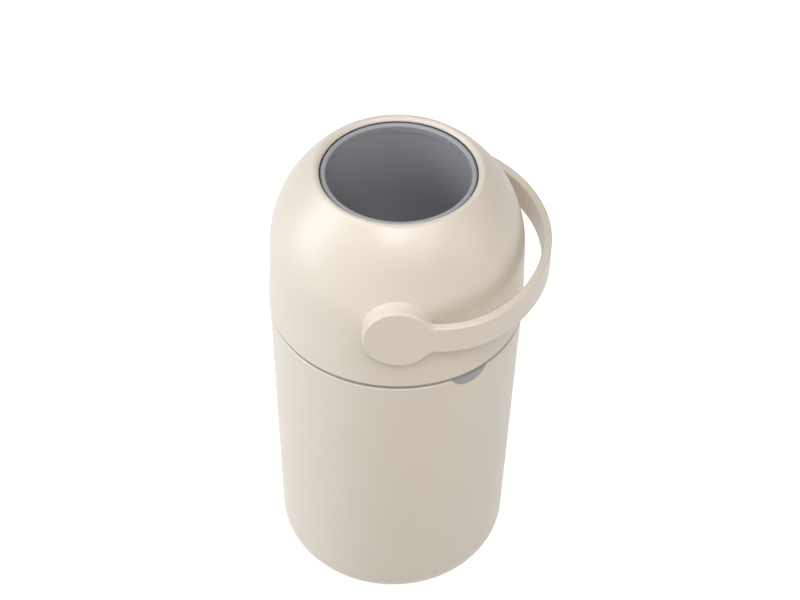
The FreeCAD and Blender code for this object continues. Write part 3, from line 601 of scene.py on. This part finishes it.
@dataclass(frozen=True)
class BoreShadePlastic(MouldedPlastic):
    """Moulded plastic of the bore, with painted shade that darkens it from its two mouths towards the middle.

    Args:
        middle: Height of the bore's middle in metres.
        reach: Distance from the middle to a mouth in metres.
        middle_shade: Share of the colour that is left in the middle, where the painted shade is deepest.
    """

    middle: float = 0.4333
    reach: float = 0.095
    middle_shade: float = 0.7

    def tint(self, sheet: NodeSheet) -> Socket:
        """Paint shade into the colour, darkest in the middle and full towards the mouths.

        Args:
            sheet: The material's nodes.

        Returns:
            The colour.
        """
        # Painted shade: the colour darkens with distance from the mouths, deep inside the ball.
        height = sheet.add("ShaderNodeSeparateXYZ")
        sheet.join(sheet.place, height.inputs["Vector"])
        away = sheet.add("ShaderNodeMath", operation="SUBTRACT")
        away.inputs[1].default_value = self.middle
        sheet.join(height.outputs["Z"], away.inputs[0])
        distance = sheet.add("ShaderNodeMath", operation="ABSOLUTE")
        sheet.join(away.outputs["Value"], distance.inputs[0])
        shade_fade = sheet.add("ShaderNodeMapRange", interpolation_type="SMOOTHSTEP")
        shade_fade.inputs["From Max"].default_value = self.reach
        sheet.join(distance.outputs["Value"], shade_fade.inputs["Value"])
        return sheet.blend(shade_fade.outputs["Result"], shade(self.colour, self.middle_shade), self.colour)


@dataclass(frozen=True)
class SoftRubber:
    """Matt black rubber with fine pores and a dusty bloom that lightens it, sized in metres."""

    name: str
    colour: Triple
    bloom: float = 0.008
    bloom_detail: float = 4.0
    dust: float = 1.7
    least_rough: float = 0.7
    most_rough: float = 0.88
    pore: float = 0.0009
    pore_detail: float = 2.0
    relief: float = 0.00003

    def build(self) -> Material:
        """Make the material.

        Returns:
            The finished material.
        """
        sheet = NodeSheet(self.name)
        bloom = sheet.noise(self.bloom, self.bloom_detail)
        pores = sheet.noise(self.pore, self.pore_detail)
        tint = sheet.blend(bloom, self.colour, shade(self.colour, self.dust))
        sheet.join(tint, sheet.shader.inputs["Base Color"])
        gloss = sheet.ramp(bloom, self.least_rough, self.most_rough)
        sheet.join(gloss, sheet.shader.inputs["Roughness"])
        sheet.bump(pores, self.relief)
        return sheet.material


@dataclass(frozen=True)
class PlatedSteel:
    """Zinc-plated steel with fine turning marks and a slightly cloudy plating, sized in metres."""

    name: str
    colour: Triple
    plating: float = 0.004
    plating_detail: float = 3.0
    dim: float = 0.85
    least_rough: float = 0.24
    most_rough: float = 0.42
    mark: float = 0.0004
    mark_detail: float = 2.0
    mark_stretch: Triple = (1.0, 1.0, 6.0)
    relief: float = 0.000008

    def build(self) -> Material:
        """Make the material.

        Returns:
            The finished material.
        """
        sheet = NodeSheet(self.name)
        plating = sheet.noise(self.plating, self.plating_detail)
        marks = sheet.noise(self.mark, self.mark_detail, self.mark_stretch)
        tint = sheet.blend(plating, shade(self.colour, self.dim), self.colour)
        sheet.join(tint, sheet.shader.inputs["Base Color"])
        gloss = sheet.ramp(plating, self.least_rough, self.most_rough)
        sheet.join(gloss, sheet.shader.inputs["Roughness"])
        sheet.shader.inputs["Metallic"].default_value = 1.0
        sheet.bump(marks, self.relief)
        return sheet.material


@dataclass
class Finishes:
    """The finish of each of the record's slots, and of the nodes that have one of their own."""

    shell: MouldedPlastic = MouldedPlastic("cream_shell_plastic", (0.785, 0.705, 0.602), 0.34, specular=0.75)
    grey: MouldedPlastic = MouldedPlastic("grey_satin_plastic", (0.385, 0.385, 0.402), 0.36)
    inner: MouldedPlastic = MouldedPlastic("inner_grey_plastic", (0.16, 0.16, 0.167), 0.5)
    pivot: MouldedPlastic = MouldedPlastic("pivot_acetal", (0.8, 0.8, 0.77), 0.3)
    rubber: SoftRubber = SoftRubber("black_rubber_mat", (0.018, 0.018, 0.019))
    steel: PlatedSteel = PlatedSteel("zinc_plated_steel", (0.62, 0.63, 0.65))
    # The bore's finish paints shade that darkens the middle of the bore.
    bore_shade: BoreShadePlastic = BoreShadePlastic("bore_painted_shade_plastic", (0.385, 0.385, 0.411), 0.4)
    # The collar's own warm grey, made darker than the other grey parts, also paints the shade of the seam
    # under the dome's skirt.
    collar: MouldedPlastic = MouldedPlastic("collar_grey_painted_shade", (0.36, 0.335, 0.3), 0.4)

    def by_slot(self) -> dict[str, Material]:
        """Make the materials of the slots, by slot."""
        return {
            Slot.SHELL.value: self.shell.build(),
            Slot.GREY.value: self.grey.build(),
            Slot.INNER.value: self.inner.build(),
            Slot.PIVOT.value: self.pivot.build(),
            Slot.RUBBER.value: self.rubber.build(),
            Slot.STEEL.value: self.steel.build(),
        }

    def by_node(self) -> dict[str, Material]:
        """Make the materials of the nodes that have one of their own, by node."""
        return {"bore_sleeve": self.bore_shade.build(), "collar_ring": self.collar.build()}


def dress(piece: Piece, material: Material) -> None:
    """Give a piece one material all over."""
    piece.data.materials.clear()
    piece.data.materials.append(material)


@dataclass
class Wardrobe:
    """The finished materials, and the last steps that every new piece goes through.

    Args:
        materials: The materials by slot.
        own_finish: The materials of the nodes that have one of their own, by node.
        smooth_below: Edges flatter than this angle in degrees are shaded smooth.
    """

    materials: dict[str, Material]
    own_finish: dict[str, Material]
    smooth_below: float = 32.0

    def settle(self, piece: Piece, body: Body, slot: Slot, node: str = "") -> None:
        """Shade and dress a new piece, and let it ride on its body.

        Args:
            piece: The piece, with its place in its mesh.
            body: The body that it rides on.
            slot: The slot that it takes its finish from.
            node: The CAD node that it stands for, or nothing where it adds to one.
        """
        select_only(piece)
        bpy.ops.object.shade_smooth_by_angle(angle=math.radians(self.smooth_below))
        dress(piece, self.materials[slot.value])
        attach(piece, body.value)
        if node:
            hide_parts(node)
        faces = len(piece.data.polygons)
        LOG.info("%s rides on %s, %d faces, for %s", piece.name, body.value, faces, node or "itself")

    def dress_cad_nodes(self) -> None:
        """Give every CAD node its own finish, or else the finish of its slot."""
        for row in frame["record"]["subparts"]:
            finish = self.own_finish.get(row["node"], self.materials[row["material_slot"]])
            dress(frame["nodes"][row["node"]], finish)
            LOG.info("dressed %s in %s", row["node"], finish.name)


@dataclass(frozen=True)
class CrossScrew:
    """Pan-head screw with a cross recess and a thread, along the upright, its head's underside at the origin.

    Args:
        name: Name of the screw.
        radius: Outer radius of the thread, of which the core is a share.
        head_radius: Radius of the head, of which the cross's width and reach are shares.
        head: Height of the head, of which its rim and the cross's depth are shares.
        length: Length under the head, of which a share is bare.
        pitch: Climb of one turn of the thread.
    """

    name: str
    radius: float
    head_radius: float
    head: float
    length: float
    pitch: float
    core_share: float = 0.74
    root_share: float = 0.9
    flank_share: float = 0.8
    bare_share: float = 0.16
    rim_share: float = 0.45
    slot_share: float = 0.26
    reach_share: float = 0.62
    depth_share: float = 0.6
    taper: float = 0.6

    def build(self) -> Piece:
        """Model the screw.

        Returns:
            The screw, about the origin.
        """
        core = self.radius * self.core_share
        rim = self.head * self.rim_share
        dome = self.head - rim
        crown = [
            (self.head_radius * math.sin(angle), -rim - dome * math.cos(angle))
            for angle in crown_angles()
        ]
        tip = self.length - self.radius
        shank = [(self.head_radius, 0.0), (core, 0.0), (core, tip), (0.0, self.length)]
        screw = turn_section(self.name, crown + shank, SCREW_STEPS)
        for quarter in (0.0, math.pi / 2):
            cut_away(screw, self.recess(quarter))
        half = self.pitch / 2
        start = self.length * self.bare_share
        root = core * self.root_share
        flank = half * self.flank_share
        ridge = [(root, start - flank), (self.radius, start), (root, start + flank)]
        turns = (tip - start - half) / self.pitch
        thread = wind_section(f"{self.name}_thread", ridge, self.pitch, turns)
        return join(self.name, [screw, thread])

    def recess(self, quarter: float) -> Piece:
        """Model the tool for one slot of the cross, narrower at its bottom.

        Args:
            quarter: Turn about the upright.

        Returns:
            The tool.
        """
        depth = self.head * self.depth_share
        bpy.ops.object.select_all(action="DESELECT")
        bpy.ops.mesh.primitive_cube_add(size=1.0, location=(0, 0, -self.head), rotation=(0, 0, quarter))
        tool = bpy.context.object
        tool.scale = (2 * self.head_radius * self.reach_share, self.head_radius * self.slot_share, 2 * depth)
        bpy.ops.object.transform_apply(location=True, rotation=True, scale=True)
        select_faces(tool, lambda face: face.normal.z > FLAT_NORMAL)
        bpy.ops.transform.resize(value=(self.taper, self.taper, 1.0), center_override=(0, 0, 0))
        bpy.ops.object.mode_set(mode="OBJECT")
        return tool


@dataclass
class Assembly:
    """A sub-assembly whose pieces take their finishes from one wardrobe."""

    wardrobe: Wardrobe


@dataclass
class StandingBucket(Assembly):
    """Bevelled edge of the bucket's rim, and its rubber foot with grip grooves in the underside."""

    rim_height: float = 0.3519
    rim_radius: float = 0.13433
    rim_bevel: float = 0.00103
    rim_drop: float = 0.0017
    rim_bite: float = 0.0009
    tab_angle: float = -55.6
    tab_half: float = 9.6
    ring_width: float = 0.018
    grip_margin: float = 0.0026
    grip_depth: float = 0.0008
    grips: int = 36
    faces_per_grip: int = 4
    edge: float = 0.0003

    def build(self) -> None:
        """Model the rim's edge and the foot ring."""
        self.build_rim_edge()
        self.build_foot()

    def build_rim_edge(self) -> None:
        """Model the bright bevelled edge under the seam, which stops at the release tab."""
        outer = self.rim_radius
        inner = outer - self.rim_bevel - self.rim_bite
        top = self.rim_height
        bottom = top - self.rim_drop
        soft = self.rim_bevel / 4
        section = [
            (inner, bottom),
            (outer - soft, bottom),
            (outer, bottom + soft),
            (outer, top - self.rim_bevel),
            (outer - self.rim_bevel, top),
            (inner, top),
        ]
        opening = math.radians(2 * self.tab_half)
        edge = turn_section("bucket_rim_edge", section, RING_STEPS, ring=True, angle=FULL_TURN - opening)
        start = math.radians(self.tab_angle - self.tab_half)
        place(edge, Matrix.Rotation(start, 4, "Z"))
        self.wardrobe.settle(edge, Body.BASE, Slot.SHELL)

    def build_foot(self) -> None:
        """Model the foot ring."""
        low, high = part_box("foot_ring")
        outer = high[0]
        inner = outer - self.ring_width
        bottom, top = low[2], high[2]
        section = [
            (inner, top),
            (inner, bottom),
            (inner + self.grip_margin, bottom),
            (outer - self.grip_margin, bottom),
            (outer, bottom),
            (outer, top),
        ]
        ring = turn_section("grip_foot_ring", section, self.grips * self.faces_per_grip, ring=True)
        self.press_grips(ring, (inner + outer) / 2)
        round_edges(ring, self.edge)
        self.wardrobe.settle(ring, Body.BASE, Slot.RUBBER, "foot_ring")

    def press_grips(self, ring: Piece, middle: float) -> None:
        """Press every other sector of the underside in.

        Args:
            ring: The foot ring.
            middle: Middle radius of the ring.
        """
        sector = FULL_TURN / self.grips

        def goes_in(face: Face) -> bool:
            """Say whether a face is pressed in.

            Args:
                face: A face of the ring.

            Returns:
                Whether it lies on the underside, in a sector that goes in.
            """
            spot = face.center
            turn = math.atan2(spot.y, spot.x) % sector
            in_band = abs(math.hypot(spot.x, spot.y) - middle) < self.grip_margin
            return face.normal.z < -FLAT_NORMAL and in_band and turn < sector / 2

        select_faces(ring, goes_in)
        bpy.ops.mesh.extrude_region_move(TRANSFORM_OT_translate={"value": (0, 0, self.grip_depth)})
        bpy.ops.object.mode_set(mode="OBJECT")


@dataclass
class ReleaseLatch(Assembly):
    """Coil spring behind the release button, and the two screws of its guide."""

    guide_face: float = 0.1158
    spring_length: float = 0.0122
    spring_height: float = 0.346
    spring_radius: float = 0.003
    wire: float = 0.00035
    coils: float = 7.5
    screw_ring: float = 0.12012
    screw_offset: float = 0.0106
    screw: CrossScrew = CrossScrew("guide_screw", 0.0014, 0.0026, 0.0017, 0.011, 0.0011)

    def build(self) -> None:
        """Model the spring and the screws."""
        press = joint_row(Joint.PRESS)
        outward = -Vector(press["axis"])
        self.build_spring(outward, press["range_m"][1])
        self.build_screws(outward)

    def build_spring(self, outward: Vector, travel: float) -> None:
        """Wind the spring that sits behind the button.

        Args:
            outward: Direction from the pail's upright to the button.
            travel: How far the button goes in; not used.
        """
        middle = (self.spring_radius - self.wire, self.wire)
        wire = arc(middle, self.wire, 0.0, 360.0, WIRE_STEPS)[:-1]
        pitch = (self.spring_length - 2 * self.wire) / self.coils
        spring = wind_section("latch_coil_spring", wire, pitch, self.coils)
        anchor = outward * self.guide_face + UPRIGHT * self.spring_height
        place(spring, along(outward, anchor))
        self.wardrobe.settle(spring, Body.BASE, Slot.STEEL, "latch_spring")
        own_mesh(spring)

    def build_screws(self, outward: Vector) -> None:
        """Drive the guide's two screws down through the collar.

        Args:
            outward: Direction from the pail's upright to the button.
        """
        sideways = UPRIGHT.cross(outward)
        under_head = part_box("guide_screws")[1][2] - self.screw.head
        places = []
        for side in (1, -1):
            spot = outward * self.screw_ring + sideways * side * self.screw_offset + UPRIGHT * under_head
            places.append(along(-UPRIGHT, spot))
        screws = repeat(self.screw.build(), "guide_screw_pair", places)
        self.wardrobe.settle(screws, Body.BASE, Slot.STEEL, "guide_screws")


@dataclass
class HeadHinge(Assembly):
    """Pin of the head's hinge, with a domed head at each end."""

    half_length: float = 0.0264
    radius: float = 0.002
    head_radius: float = 0.003
    head: float = 0.001
    brow_share: float = 0.4

    def build(self) -> None:
        """Model the pin."""
        hinge = joint_row(Joint.HINGE)
        end = self.half_length
        brow = self.brow_share * self.head
        dome = self.head - brow
        cap = [
            (self.head_radius * math.cos(angle), end + brow + dome * math.sin(angle))
            for angle in crown_angles()
        ]
        upper = [(self.radius, end), (self.head_radius, end)] + cap
        lower = [(radius, -height) for radius, height in reversed(upper)]
        pin = turn_section("domed_hinge_pin", lower + upper, SCREW_STEPS)
        place(pin, along(Vector(hinge["axis"]), Vector(hinge["pos_m"])))
        self.wardrobe.settle(pin, Body.BASE, Slot.STEEL, "hinge_pin")


@dataclass
class DomedHead(Assembly):
    """Lips of the head's pivot bosses, its rubber rings and the screws that hold its bowl."""

    boss_face: float = 0.1361
    boss_radius: float = 0.0362
    lip_width: float = 0.0025
    lip_height: float = 0.00034
    lip_bite: float = 0.0006
    lip_edge: float = 0.00012
    gasket_width: float = 0.0045
    bead: float = 0.0009
    bead_shares: tuple[float, float] = (0.27, 0.73)
    wipe_radius: float = 0.1248
    seal_width: float = 0.006
    seal_groove: float = 0.0006
    wipe_share: float = 0.28
    groove_share: float = 0.38
    opening_start: float = 0.0952
    opening_outer: float = 0.1295
    discharge_start: float = 0.0826
    discharge_outer: float = 0.1272
    edge: float = 0.0002
    screw_circle: float = 0.121
    screws: int = 6
    screw: CrossScrew = CrossScrew("bowl_screw", 0.002, 0.0038, 0.0024, 0.018, 0.0015)

    def build(self) -> None:
        """Model the boss lips, the gasket, the two wiping seals and the screws."""
        self.build_boss_lips()
        self.build_gasket()
        self.build_seal("opening", self.opening_start, self.opening_outer, 1)
        self.build_seal("discharge", self.discharge_start, self.discharge_outer, -1)
        self.build_screws()

    def build_boss_lips(self) -> None:
        """Model the low lip on each pivot boss, which closes the joint to the handle's hub."""
        outer = self.boss_radius
        inner = outer - self.lip_width
        top = self.lip_height
        section = [
            (inner, -self.lip_bite),
            (outer, -self.lip_bite),
            (outer, top - self.lip_edge),
            (outer - self.lip_edge, top),
            (inner, top),
        ]
        lip = turn_section("boss_lip", section, RING_STEPS, ring=True)
        lips = set_pair(lip, "boss_lip_pair", self.boss_face)
        self.wardrobe.settle(lips, Body.HEAD, Slot.SHELL)

    def build_gasket(self) -> None:
        """Model the flat gasket with two round beads under it."""
        low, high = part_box("rim_gasket")
        outer = high[0]
        inner = outer - self.gasket_width
        back = low[2] + self.bead
        beads = []
        for share in self.bead_shares:
            beads += arc((inner + self.gasket_width * share, back), self.bead, 180.0, 360.0, BEAD_STEPS)
        section = [(inner, high[2]), (inner, back)] + beads + [(outer, back), (outer, high[2])]
        gasket = turn_section("beaded_gasket", section, RING_STEPS, ring=True)
        round_edges(gasket, self.edge)
        self.wardrobe.settle(gasket, Body.HEAD, Slot.RUBBER, "rim_gasket")

    def build_seal(self, mouth: str, start: float, outer: float, side: int) -> None:
        """Model a ring that wipes the ball with two lips.

        Args:
            mouth: Which of the head's two mouths it seals.
            start: Radius at which the wiping face starts.
            outer: Distance of the ring's back from the ball's centre.
            side: 1 above the ball's centre, -1 below it.
        """
        centre = joint_row(Joint.TURN)["pos_m"][2]
        first = math.asin(start / self.wipe_radius)
        last = math.asin((start + self.seal_width) / self.wipe_radius)
        face = self.wipe_radius
        groove = face + self.seal_groove
        profile = [
            (face, 0.0),
            (face, self.wipe_share),
            (groove, self.groove_share),
            (groove, 1 - self.groove_share),
            (face, 1 - self.wipe_share),
            (face, 1.0),
            (outer, 1.0),
            (outer, 0.5),
            (outer, 0.0),
        ]
        section = []
        for reach, share in profile:
            angle = first + (last - first) * share
            section.append((reach * math.sin(angle), centre + side * reach * math.cos(angle)))
        seal = turn_section(f"{mouth}_lip_seal", section, RING_STEPS, ring=True)
        round_edges(seal, self.edge)
        self.wardrobe.settle(seal, Body.HEAD, Slot.RUBBER, f"{mouth}_seal")

    def build_screws(self) -> None:
        """Drive the bowl's screws up into the dome."""
        outward = -Vector(joint_row(Joint.PRESS)["axis"])
        first = math.degrees(math.atan2(outward.y, outward.x))
        under_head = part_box("bowl_screws")[0][2] + self.screw.head
        pattern = self.screw.build()
        screws = set_circle(pattern, "bowl_screw_set", self.screw_circle, under_head, self.screws, first)
        self.wardrobe.settle(screws, Body.HEAD, Slot.STEEL, "bowl_screws")


@dataclass
class TurningBall(Assembly):
    """Black rubber ring round each mouth of the ball that paints the shade of the gap, heels of the handle's
    hubs, and the screws of both.
    """

    shade_ring_inner: float = 0.0796
    shade_ring_outer: float = 0.081
    shade_ring_thick: float = 0.0012
    shade_ring_sphere: float = 0.12452
    hub_back: float = 0.1365
    hub_radius: float = 0.0362
    heel_width: float = 0.003
    heel_height: float = 0.0024
    heel_lift: float = 0.00005
    heel_edge: float = 0.00012
    screw_circle: float = 0.1
    screws: int = 4
    screw: CrossScrew = CrossScrew("ball_screw", 0.002, 0.0038, 0.0024, 0.018, 0.0015)
    handle_seat: float = 0.0811
    handle_screw: CrossScrew = CrossScrew("handle_screw", 0.0025, 0.0045, 0.0032, 0.0504, 0.0018)

    def build(self) -> None:
        """Model the rings that paint shade in the mouths' gaps, the heels and the screws."""
        self.build_gap_shade_rings()
        self.build_hub_heels()
        self.build_ball_screws()
        self.build_handle_screws()

    def build_gap_shade_rings(self) -> None:
        """Lay a thin black rubber ring on the ball's skin in the gap outside each rim, a dark piece that
        paints the shade of the deep gap.
        """
        middle = joint_row(Joint.TURN)["pos_m"][2]
        # The black ring paints the gap's shade as a dark line round each rim.
        reach = self.shade_ring_outer - self.shade_ring_inner
        radii = [self.shade_ring_inner + reach * step / EDGE_STEPS for step in range(EDGE_STEPS + 1)]
        skin = [(radius, math.sqrt(self.shade_ring_sphere**2 - radius**2)) for radius in radii]
        buried = [(radius, rise - self.shade_ring_thick) for radius, rise in (skin[0], skin[-1])]
        profile = [buried[0], *skin, buried[1]]
        for label, side in UPPER_AND_LOWER:
            section = at_level(profile, middle, side)
            ring = turn_section(f"mouth_ring_{label}", section, RING_STEPS, ring=True)
            self.wardrobe.settle(ring, Body.DRUM, Slot.RUBBER)

    def build_hub_heels(self) -> None:
        """Square off the back of each hub of the handle, where it meets its boss."""
        outer = self.hub_radius
        inner = outer - self.heel_width
        low = self.heel_lift
        section = [
            (inner, low),
            (outer - self.heel_edge, low),
            (outer, low + self.heel_edge),
            (outer, self.heel_height),
            (inner, self.heel_height),
        ]
        heel = turn_section("hub_heel", section, RING_STEPS, ring=True)
        heels = set_pair(heel, "hub_heel_pair", self.hub_back)
        self.wardrobe.settle(heels, Body.DRUM, Slot.SHELL)

    def build_ball_screws(self) -> None:
        """Drive the screws that hold the ball's halves together."""
        under_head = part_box("drum_screws")[0][2] + self.screw.head
        pattern = self.screw.build()
        screws = set_circle(pattern, "ball_screw_set", self.screw_circle, under_head, self.screws)
        self.wardrobe.settle(screws, Body.DRUM, Slot.STEEL, "drum_screws")

    def build_handle_screws(self) -> None:
        """Drive the screws that hold the handle to the ball."""
        screws = set_pair(self.handle_screw.build(), "handle_screw_pair", self.handle_seat)
        self.wardrobe.settle(screws, Body.DRUM, Slot.STEEL, "handle_screws")


@dataclass
class WeightedPiston(Assembly):
    """The two piston cups with their dished ends, and the wiper ring on each shoulder."""

    wall: float = 0.0025
    post: float = 0.008
    weight: float = 0.004
    step_in: float = 0.0009
    shoulder: float = 0.012
    edge: float = 0.0016
    dish_margin: float = 0.009
    dish_depth: float = 0.0014
    rib_radius: float = 0.03
    rib: float = 0.0008
    seal: float = 0.002
    seal_gap: float = 0.0001

    def build(self) -> None:
        """Model the cups and the wipers."""
        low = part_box("piston_cup_lower")[0]
        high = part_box("piston_cup_upper")[1]
        middle = (low[2] + high[2]) / 2
        cup_profile = self.cup_profile(high[0], high[2] - middle)
        wiper_profile = self.wiper_profile(high[0])
        for label, side in UPPER_AND_LOWER:
            cup = turn_section(f"dished_cup_{label}", at_level(cup_profile, middle, side), RING_STEPS)
            self.wardrobe.settle(cup, Body.PISTON, Slot.INNER, f"piston_cup_{label}")
            section = at_level(wiper_profile, middle, side)
            wiper = turn_section(f"piston_wiper_{label}", section, RING_STEPS, ring=True)
            self.wardrobe.settle(wiper, Body.PISTON, Slot.RUBBER, f"piston_seal_{label}")

    def cup_profile(self, radius: float, half: float) -> Section:
        """Profile of a cup from its post to the middle of its dished end.

        Args:
            radius: Outer radius of the cup.
            half: Height of the cup.

        Returns:
            Radius and rise over the piston's middle of each corner.
        """
        end = radius - self.step_in
        inside = half - self.wall
        dish = end - self.dish_margin
        floor = half - self.dish_depth
        profile = [
            (0.0, self.weight / 2),
            (self.post, self.weight / 2),
            (self.post, inside - self.dish_depth),
            (end - self.wall, inside - self.dish_depth),
            (end - self.wall, self.shoulder - self.wall),
            (radius - self.wall, self.shoulder - self.wall),
            (radius - self.wall, 0.0),
            (radius, 0.0),
            (radius, self.shoulder),
            (end, self.shoulder),
        ]
        profile += arc((end - self.edge, half - self.edge), self.edge, 0.0, 90.0, EDGE_STEPS)
        profile += arc((dish, half - self.dish_depth / 2), self.dish_depth / 2, 90.0, 180.0, EDGE_STEPS)
        profile.append((dish - self.dish_depth, floor))
        for ring in (2, 1):
            profile += arc((self.rib_radius * ring, floor), self.rib, 0.0, 180.0, BEAD_STEPS)
        profile.append((0.0, floor))
        return profile

    def wiper_profile(self, radius: float) -> Section:
        """Profile of the round-edged wiper on a cup's shoulder.

        Args:
            radius: Outer radius of the cup.

        Returns:
            Radius and rise over the piston's middle of each corner.
        """
        inner = radius - self.step_in + self.seal_gap
        flat = inner + (radius - inner) / 2
        near = self.shoulder
        far = self.shoulder + self.seal
        waist = (near + far) / 2
        crown = self.seal / 4
        outside = [(radius, waist - crown), (radius, waist + crown)]
        return [(inner, far), (inner, near), (flat, near), *outside, (flat, far)]


@dataclass(frozen=True)
class Softbox:
    """One flat softbox that faces the pail.

    Args:
        name: Name of the light.
        spot: Its place in metres.
        width: Its width in metres.
        height: Its height in metres.
        watts: Its power.
        tint: Its colour.
    """

    name: str
    spot: Triple
    width: float
    height: float
    watts: float
    tint: Triple

    def hang(self, aim: Vector) -> None:
        """Hang the softbox so that it faces a point.

        Args:
            aim: The point in metres.
        """
        bpy.ops.object.light_add(type="AREA", location=self.spot)
        lamp = bpy.context.object
        lamp.name = self.name
        lamp.data.shape = "RECTANGLE"
        lamp.data.size = self.width
        lamp.data.size_y = self.height
        lamp.data.energy = self.watts
        lamp.data.color = self.tint
        facing = aim - Vector(self.spot)
        lamp.rotation_euler = facing.to_track_quat("-Z", "Y").to_euler()


@dataclass
class Studio:
    """Pale floor, soft lights and a camera at the photograph's angle."""

    floor_half: float = 6.0
    floor_colour: Triple = (0.55, 0.55, 0.55)
    floor_roughness: float = 0.9
    floor_glow: float = 0.8
    sky: float = 0.04
    bounce: float = 0.6
    bounce_tint: Triple = (1.0, 0.96, 0.885)
    bounce_start: float = -0.1
    bounce_end: float = 0.1
    aim: Triple = (0.00415, 0.00293, 0.3477)
    distance: float = 2.35
    azimuth: float = 1.253
    elevation: float = 43.68
    roll: float = 1.264
    lens: float = 99.05
    sensor: float = 36.0
    softboxes: tuple[Softbox, ...] = (
        Softbox("left_strip", (-2.3, -0.1, 1.2), 1.4, 2.2, 27.5, (0.9, 0.95, 1.0)),
        Softbox("left_wall", (-2.4, -0.9, 1.4), 2.4, 2.0, 8.0, (0.88, 0.95, 1.0)),
        Softbox("front_top", (-0.2, -1.75, 2.6), 1.2, 0.7, 23.5, (0.98, 0.985, 1.0)),
        Softbox("front_right", (1.3, -2.0, 2.5), 1.6, 1.4, 15.5, (1.0, 0.98, 0.95)),
        Softbox("right_low", (2.1, -0.8, 1.1), 0.9, 1.0, 4.2, (0.95, 0.98, 1.0)),
        Softbox("high_left", (-1.2, -0.2, 2.8), 1.4, 1.4, 20.0, (0.96, 0.98, 1.0)),
        Softbox("high_right", (1.0, -0.9, 2.9), 1.4, 1.4, 18.5, (0.98, 0.99, 1.0)),
        Softbox("back_fill", (0.4, 2.6, 0.9), 2.4, 1.4, 6.0, (1.0, 0.98, 0.95)),
    )

    def build(self) -> None:
        """Set up the whole studio."""
        self.lay_floor()
        self.hang_lights()
        self.set_camera()

    def lay_floor(self) -> None:
        """Lay a floor that glows a little and leaves its bounce on the pail to the sky."""
        bpy.ops.object.select_all(action="DESELECT")
        bpy.ops.mesh.primitive_plane_add(size=2 * self.floor_half, location=(0, 0, CAD_BOX[0][2]))
        floor = bpy.context.object
        floor.name = "studio_floor"
        sheet = NodeSheet("studio_paper")
        sheet.shader.inputs["Base Color"].default_value = (*self.floor_colour, 1.0)
        sheet.shader.inputs["Roughness"].default_value = self.floor_roughness
        sheet.shader.inputs["Specular IOR Level"].default_value = 0.0
        sheet.shader.inputs["Emission Color"].default_value = WHITE
        sheet.shader.inputs["Emission Strength"].default_value = self.floor_glow
        dress(floor, sheet.material)
        floor.visible_diffuse = False

    def hang_lights(self) -> None:
        """Hang the softboxes and paint the sky round them."""
        for softbox in self.softboxes:
            softbox.hang(Vector(self.aim))
        self.paint_sky()

    def paint_sky(self) -> None:
        """Paint a dim sky over the soft bounce of a pale floor, with a white ground behind the pail."""
        world = bpy.data.worlds.new("studio_sky")
        world.use_nodes = True
        nodes = world.node_tree.nodes
        links = world.node_tree.links
        backdrop = nodes["Background"]
        direction = nodes.new("ShaderNodeTexCoord")
        height = nodes.new("ShaderNodeSeparateXYZ")
        links.new(direction.outputs["Generated"], height.inputs["Vector"])
        glow = nodes.new("ShaderNodeMapRange")
        glow.inputs["From Min"].default_value = self.bounce_start
        glow.inputs["From Max"].default_value = self.bounce_end
        glow.inputs["To Min"].default_value = self.bounce
        glow.inputs["To Max"].default_value = self.sky
        links.new(height.outputs["Z"], glow.inputs["Value"])
        links.new(glow.outputs["Result"], backdrop.inputs["Strength"])
        paper = nodes.new("ShaderNodeBackground")
        sight = nodes.new("ShaderNodeLightPath")
        either = nodes.new("ShaderNodeMixShader")
        links.new(sight.outputs["Is Camera Ray"], either.inputs["Fac"])
        links.new(backdrop.outputs["Background"], either.inputs[1])
        links.new(paper.outputs["Background"], either.inputs[2])
        links.new(either.outputs["Shader"], nodes["World Output"].inputs["Surface"])
        backdrop.inputs["Color"].default_value = (*self.bounce_tint, 1.0)
        paper.inputs["Color"].default_value = WHITE
        bpy.context.scene.world = world

    def set_camera(self) -> None:
        """Stand the camera where the photograph was taken from."""
        turn = math.radians(self.azimuth)
        tilt = math.radians(self.elevation)
        forward = Vector((math.sin(turn) * math.cos(tilt), math.cos(turn) * math.cos(tilt), -math.sin(tilt)))
        bpy.ops.object.camera_add(location=Vector(self.aim) - forward * self.distance)
        camera = bpy.context.object
        camera.name = "photo_camera"
        camera.data.lens = self.lens
        camera.data.sensor_width = self.sensor
        spin = Matrix.Rotation(math.radians(self.roll), 4, "Z")
        facing = forward.to_track_quat("-Z", "Y").to_matrix().to_4x4()
        camera.matrix_world = Matrix.Translation(camera.location) @ facing @ spin
        bpy.context.scene.camera = camera
        bpy.context.scene.view_settings.view_transform = "Standard"


def main() -> None:
    """Dress the pail, build its new pieces and set up the studio."""
    logging.basicConfig(level=logging.INFO, format="%(name)s: %(message)s")
    finishes = Finishes()
    wardrobe = Wardrobe(finishes.by_slot(), finishes.by_node())
    wardrobe.dress_cad_nodes()
    for assembly in (StandingBucket, ReleaseLatch, HeadHinge, DomedHead, TurningBall, WeightedPiston):
        assembly(wardrobe).build()
    Studio().build()


if __name__ == "__main__":
    main()
